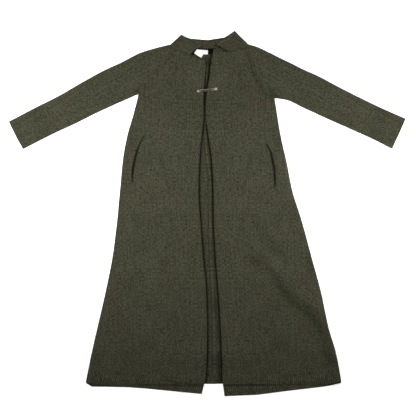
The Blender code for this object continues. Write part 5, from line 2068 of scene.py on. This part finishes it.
@dataclass
class SafetyPin:
    """The pin that holds the fronts together: one wire with a coil, and a pressed cap."""

    plan: PinPlan = PinPlan()
    wire: float = 1.6
    wire_sides: int = 14
    wire_points: int = 420
    bend_points: int = 9
    coil_turns: float = 1.5
    coil_air: float = 0.3
    coil_lift: float = 0.1
    needle_height: float = 4.6
    cap: tuple[float, float, float] = (9.0, 8.0, 4.6)
    cap_past: float = 2.0
    cap_square: float = 0.62

    def cloth_top(self, along: float, side: float) -> float:
        """Height of the fronts' upper face under a place on the pin."""
        return float(LAY.upper(self.plan.spot(along, side)[None])[0]) + LAY.cloth / 2

    def cap_z(self) -> float:
        """Height of the middle of the cap, which lies on the cloth.

        Returns:
            That height.
        """
        length, width, height = self.cap
        end = self.plan.length + self.cap_past
        under = [
            self.cloth_top(end - a, s) for a in (0, length / 2, length) for s in (-width / 2, 0, width / 2)
        ]
        return max(under) + LAY.seam_gap + height / 2

    def centre_line(self) -> Array:
        """The wire's path: the bar, one and a half turns of coil, and the needle under the edges.

        Returns:
            Its points, evenly spaced and smoothed.
        """
        radius, cap_z = self.plan.half_spread, self.cap_z()
        reach = (-radius, 0.0, radius)
        cloth_z = max(self.cloth_top(a, s) for a in reach for s in reach)
        coil_z = cloth_z + LAY.seam_gap + self.wire / 2 + self.coil_lift
        drop = self.coil_turns * (self.wire + self.coil_air)
        bar = np.array([(self.plan.length - 2, radius, cap_z), (self.plan.length - 12, radius, cap_z)])
        turn = np.linspace(0, 1, 49)[:, None]
        angle = math.pi / 2 + turn * self.coil_turns * 2 * math.pi
        coil = np.hstack([radius * np.cos(angle), radius * np.sin(angle), coil_z + (1 - turn) * drop])
        # Along the pin, height: from the coil down under the front's edge, then up into the cap.
        needle = np.array([
            (7.5, coil_z), (9.0, coil_z - 0.5), (13.6, self.needle_height + 0.3), (15.5, self.needle_height),
            (44.5, self.needle_height), (46.0, self.needle_height + 0.4), (52.0, cap_z - 1.0),
            (54.5, cap_z - 0.2), (57.0, cap_z), (self.plan.length - 3, cap_z),
        ])
        needle = np.column_stack([needle[:, 0], np.full(len(needle), -radius), needle[:, 1]])
        line = np.vstack([bar, coil, needle])
        at = np.concatenate([[0], np.cumsum(np.linalg.norm(np.diff(line, axis=0), axis=-1))])
        even = np.linspace(0, at[-1], self.wire_points)
        line = np.stack([np.interp(even, at, line[:, k]) for k in range(3)], axis=-1)
        kernel = np.hanning(self.bend_points) / np.hanning(self.bend_points).sum()
        padded = np.pad(line, ((self.bend_points // 2,) * 2, (0, 0)), mode="edge")
        line = np.stack([np.convolve(padded[:, k], kernel, "valid") for k in range(3)], axis=-1)
        return at_height(self.plan.spot(line[:, 0], line[:, 1]), line[:, 2])

    def cap_rings(self) -> Array:
        """Rings of the cap, from its inner end round the mouth to its closed outer end.

        Each is a circle drawn out towards a rectangle, scaled by a profile along the cap.

        Returns:
            One row of points per ring.
        """
        length, width, height = self.cap
        start, cap_z = self.plan.length - length + self.cap_past, self.cap_z()
        angle = np.linspace(0, 2 * math.pi, 41)[:-1]
        shape = np.stack([np.cos(angle), np.sin(angle)], axis=-1)
        shape = np.sign(shape) * np.abs(shape) ** self.cap_square
        rings = []
        profile = (
            (length - 1.4, 0.72), (0.8, 0.78), (0.15, 0.86), (0.0, 0.92), (0.15, 0.98), (0.9, 1.0),
            (1.6, 0.965), (2.3, 1.0), (length * 0.55, 1.0), (length - 1.6, 0.95), (length - 0.6, 0.8),
            (length, 0.5), (length, 0.02),
        )
        for along, scale in profile:
            side, up = shape[:, 0] * width / 2 * scale, shape[:, 1] * height / 2 * scale
            rings.append(at_height(self.plan.spot(start + along, side), cap_z + up))
        return np.array(rings)

    def build(self, wardrobe: Wardrobe) -> None:
        """Makes the wire and the cap.

        Args:
            wardrobe: what dresses it.
        """
        wire = tube("pin_silver_wire", self.centre_line(), self.wire / 2, self.wire_sides)
        wardrobe.dress(wire, Finish.SILVER, "pin_wire")
        rings = self.cap_rings()
        cap = ring_mesh("pin_silver_cap", rings, rings[0].mean(axis=0), rings[-1].mean(axis=0))
        wardrobe.dress(cap, Finish.SILVER, "pin_cap")


class Lamp(NamedTuple):
    """A soft square light over the coat: place and side in metres, power in watts."""

    name: str
    place: tuple[float, float, float]
    size: float
    power: float


@dataclass
class Studio:
    """A pale lit table, soft lights and a camera straight above."""

    centre: Spot = Spot(2.6, 19.4)
    view_width: float = 1456.0
    height: float = 3000.0
    sensor: float = 36.0
    far: float = 20.0
    dome: float = 9000.0
    table_drop: float = 0.4
    fill: float = 0.03
    aim: tuple[float, float, float] = (0.0, 0.2, 0.0)
    lamps: tuple[Lamp, ...] = (
        Lamp("left_softbox", (-0.8, 0.2, 0.9), 0.5, 14.9),
        Lamp("right_softbox", (0.8, 0.2, 0.9), 0.5, 13.2),
        Lamp("overhead_card", (0.0, 0.2, 3.4), 2.4, 8.6),
    )

    def camera(self) -> None:
        """Puts the camera straight above, its frame as wide as the view."""
        data = bpy.data.cameras.new("camera")
        data.sensor_width = self.sensor
        data.lens = self.sensor * self.height / self.view_width
        data.clip_end = self.far
        camera = place("camera", data)
        camera.location = (self.centre.x * MM, self.centre.y * MM, self.height * MM)
        bpy.context.scene.camera = camera

    def table(self) -> None:
        """Makes the lit table that the coat lies on."""
        corners = self.dome * np.array([(-1, -1), (1, -1), (1, 1), (-1, 1)], float)
        table = make_mesh("table", at_height(corners, -self.table_drop), np.arange(4)[None])
        g = Graph("white_table")
        g.set(
            Base_Color=(0.86, 0.86, 0.86, 1), Roughness=0.8, Specular_IOR_Level=0.1,
            Emission_Color=(1, 1, 1, 1), Emission_Strength=0.6,
        )
        table.data.materials.append(g.material)

    def backdrop(self) -> None:
        """Makes a pale dome round the table: rings of a half sphere, seen but not lighting the coat."""
        around, up = np.linspace(0, 2 * math.pi, 49)[:-1], np.linspace(0, math.pi / 2, 13)[:-1]
        turn, rise = np.meshgrid(around, up)
        plan = np.stack([np.cos(rise) * np.cos(turn), np.cos(rise) * np.sin(turn)], axis=-1)
        points = np.vstack([at_height(plan, np.sin(rise)).reshape(-1, 3), [0.0, 0.0, 1.0]])
        index = np.arange(turn.size).reshape(turn.shape)
        faces = [ring_bands(index)[:, REVERSED], ring_fan(index[-1][::-1], index.size)]
        dome = make_mesh("backdrop", self.dome * points, np.concatenate(faces))
        dome.visible_diffuse = dome.visible_glossy = dome.visible_shadow = False
        g = Graph("pale_backdrop")
        g.set(
            Base_Color=(0, 0, 0, 1), Specular_IOR_Level=0.0,
            Emission_Color=(1, 1, 1, 1), Emission_Strength=0.78,
        )
        dome.data.materials.append(g.material)

    def light(self, lamp: Lamp) -> None:
        """Adds one light, turned to the coat and not seen itself.

        Args:
            lamp: the light.
        """
        data = bpy.data.lights.new(lamp.name, "AREA")
        data.shape, data.size, data.energy = "SQUARE", lamp.size, lamp.power
        light = place(lamp.name, data)
        light.visible_camera = False
        light.location = lamp.place
        down = Vector(self.aim) - Vector(lamp.place)
        light.rotation_euler = down.to_track_quat("-Z", "Y").to_euler()

    def build(self) -> None:
        """Makes the camera, the table, the backdrop, the lights and the even fill."""
        self.camera()
        self.table()
        self.backdrop()
        for lamp in self.lamps:
            self.light(lamp)
        world = bpy.data.worlds.new("even_fill")
        world.use_nodes = True
        world.node_tree.nodes["Background"].inputs["Color"].default_value = (1, 1, 1, 1)
        world.node_tree.nodes["Background"].inputs["Strength"].default_value = self.fill
        scene = bpy.context.scene
        scene.world = world
        scene.view_settings.view_transform = "Standard"


def finishes() -> dict[Finish, Material]:
    """Makes every finish of the coat.

    Returns:
        One material per finish.
    """
    return {
        Finish.KNIT: MarledKnit().material(),
        Finish.RIB: MarledKnit(name="marled_rib").material(),
        # The bag's knit is a near-black copy of the coat's knit: painted shade inside the pocket.
        Finish.BAG: MarledKnit(
            name="bag_knit", light=(0.012, 0.012, 0.008), dark=(0.006, 0.006, 0.004), wale=2.0 * MM
        ).material(),
        Finish.TAPE: WovenBand(
            "black_tape", colour=(0.0042, 0.004, 0.0036), thread=0.9 * MM, contrast=0.4, rough=0.9, gloss=0.02
        ).material(),
        Finish.LABEL: WovenBand(
            "white_label", colour=(0.82, 0.82, 0.81), thread=0.5 * MM, contrast=0.08, rough=0.45, gloss=0.2
        ).material(),
        Finish.SILVER: PolishedWire().material(),
    }


def main() -> None:
    """Builds every piece of the coat in order, then the studio."""
    logging.basicConfig(level=logging.INFO, format="%(message)s")
    wardrobe = Wardrobe(finishes())
    for side in Side:
        Back(side).build(wardrobe)
    BackHem().build(wardrobe)
    for side in Side:
        PocketBag(side).build(wardrobe)
        Front(side).build(wardrobe)
        HemBand(side).build(wardrobe)
        Sleeve(side, CUFF_BOW[side]).build(wardrobe)
    Collar().build(wardrobe)
    NeckTrim().build(wardrobe)
    SafetyPin().build(wardrobe)
    Studio().build()


if __name__ == "__main__":
    main()
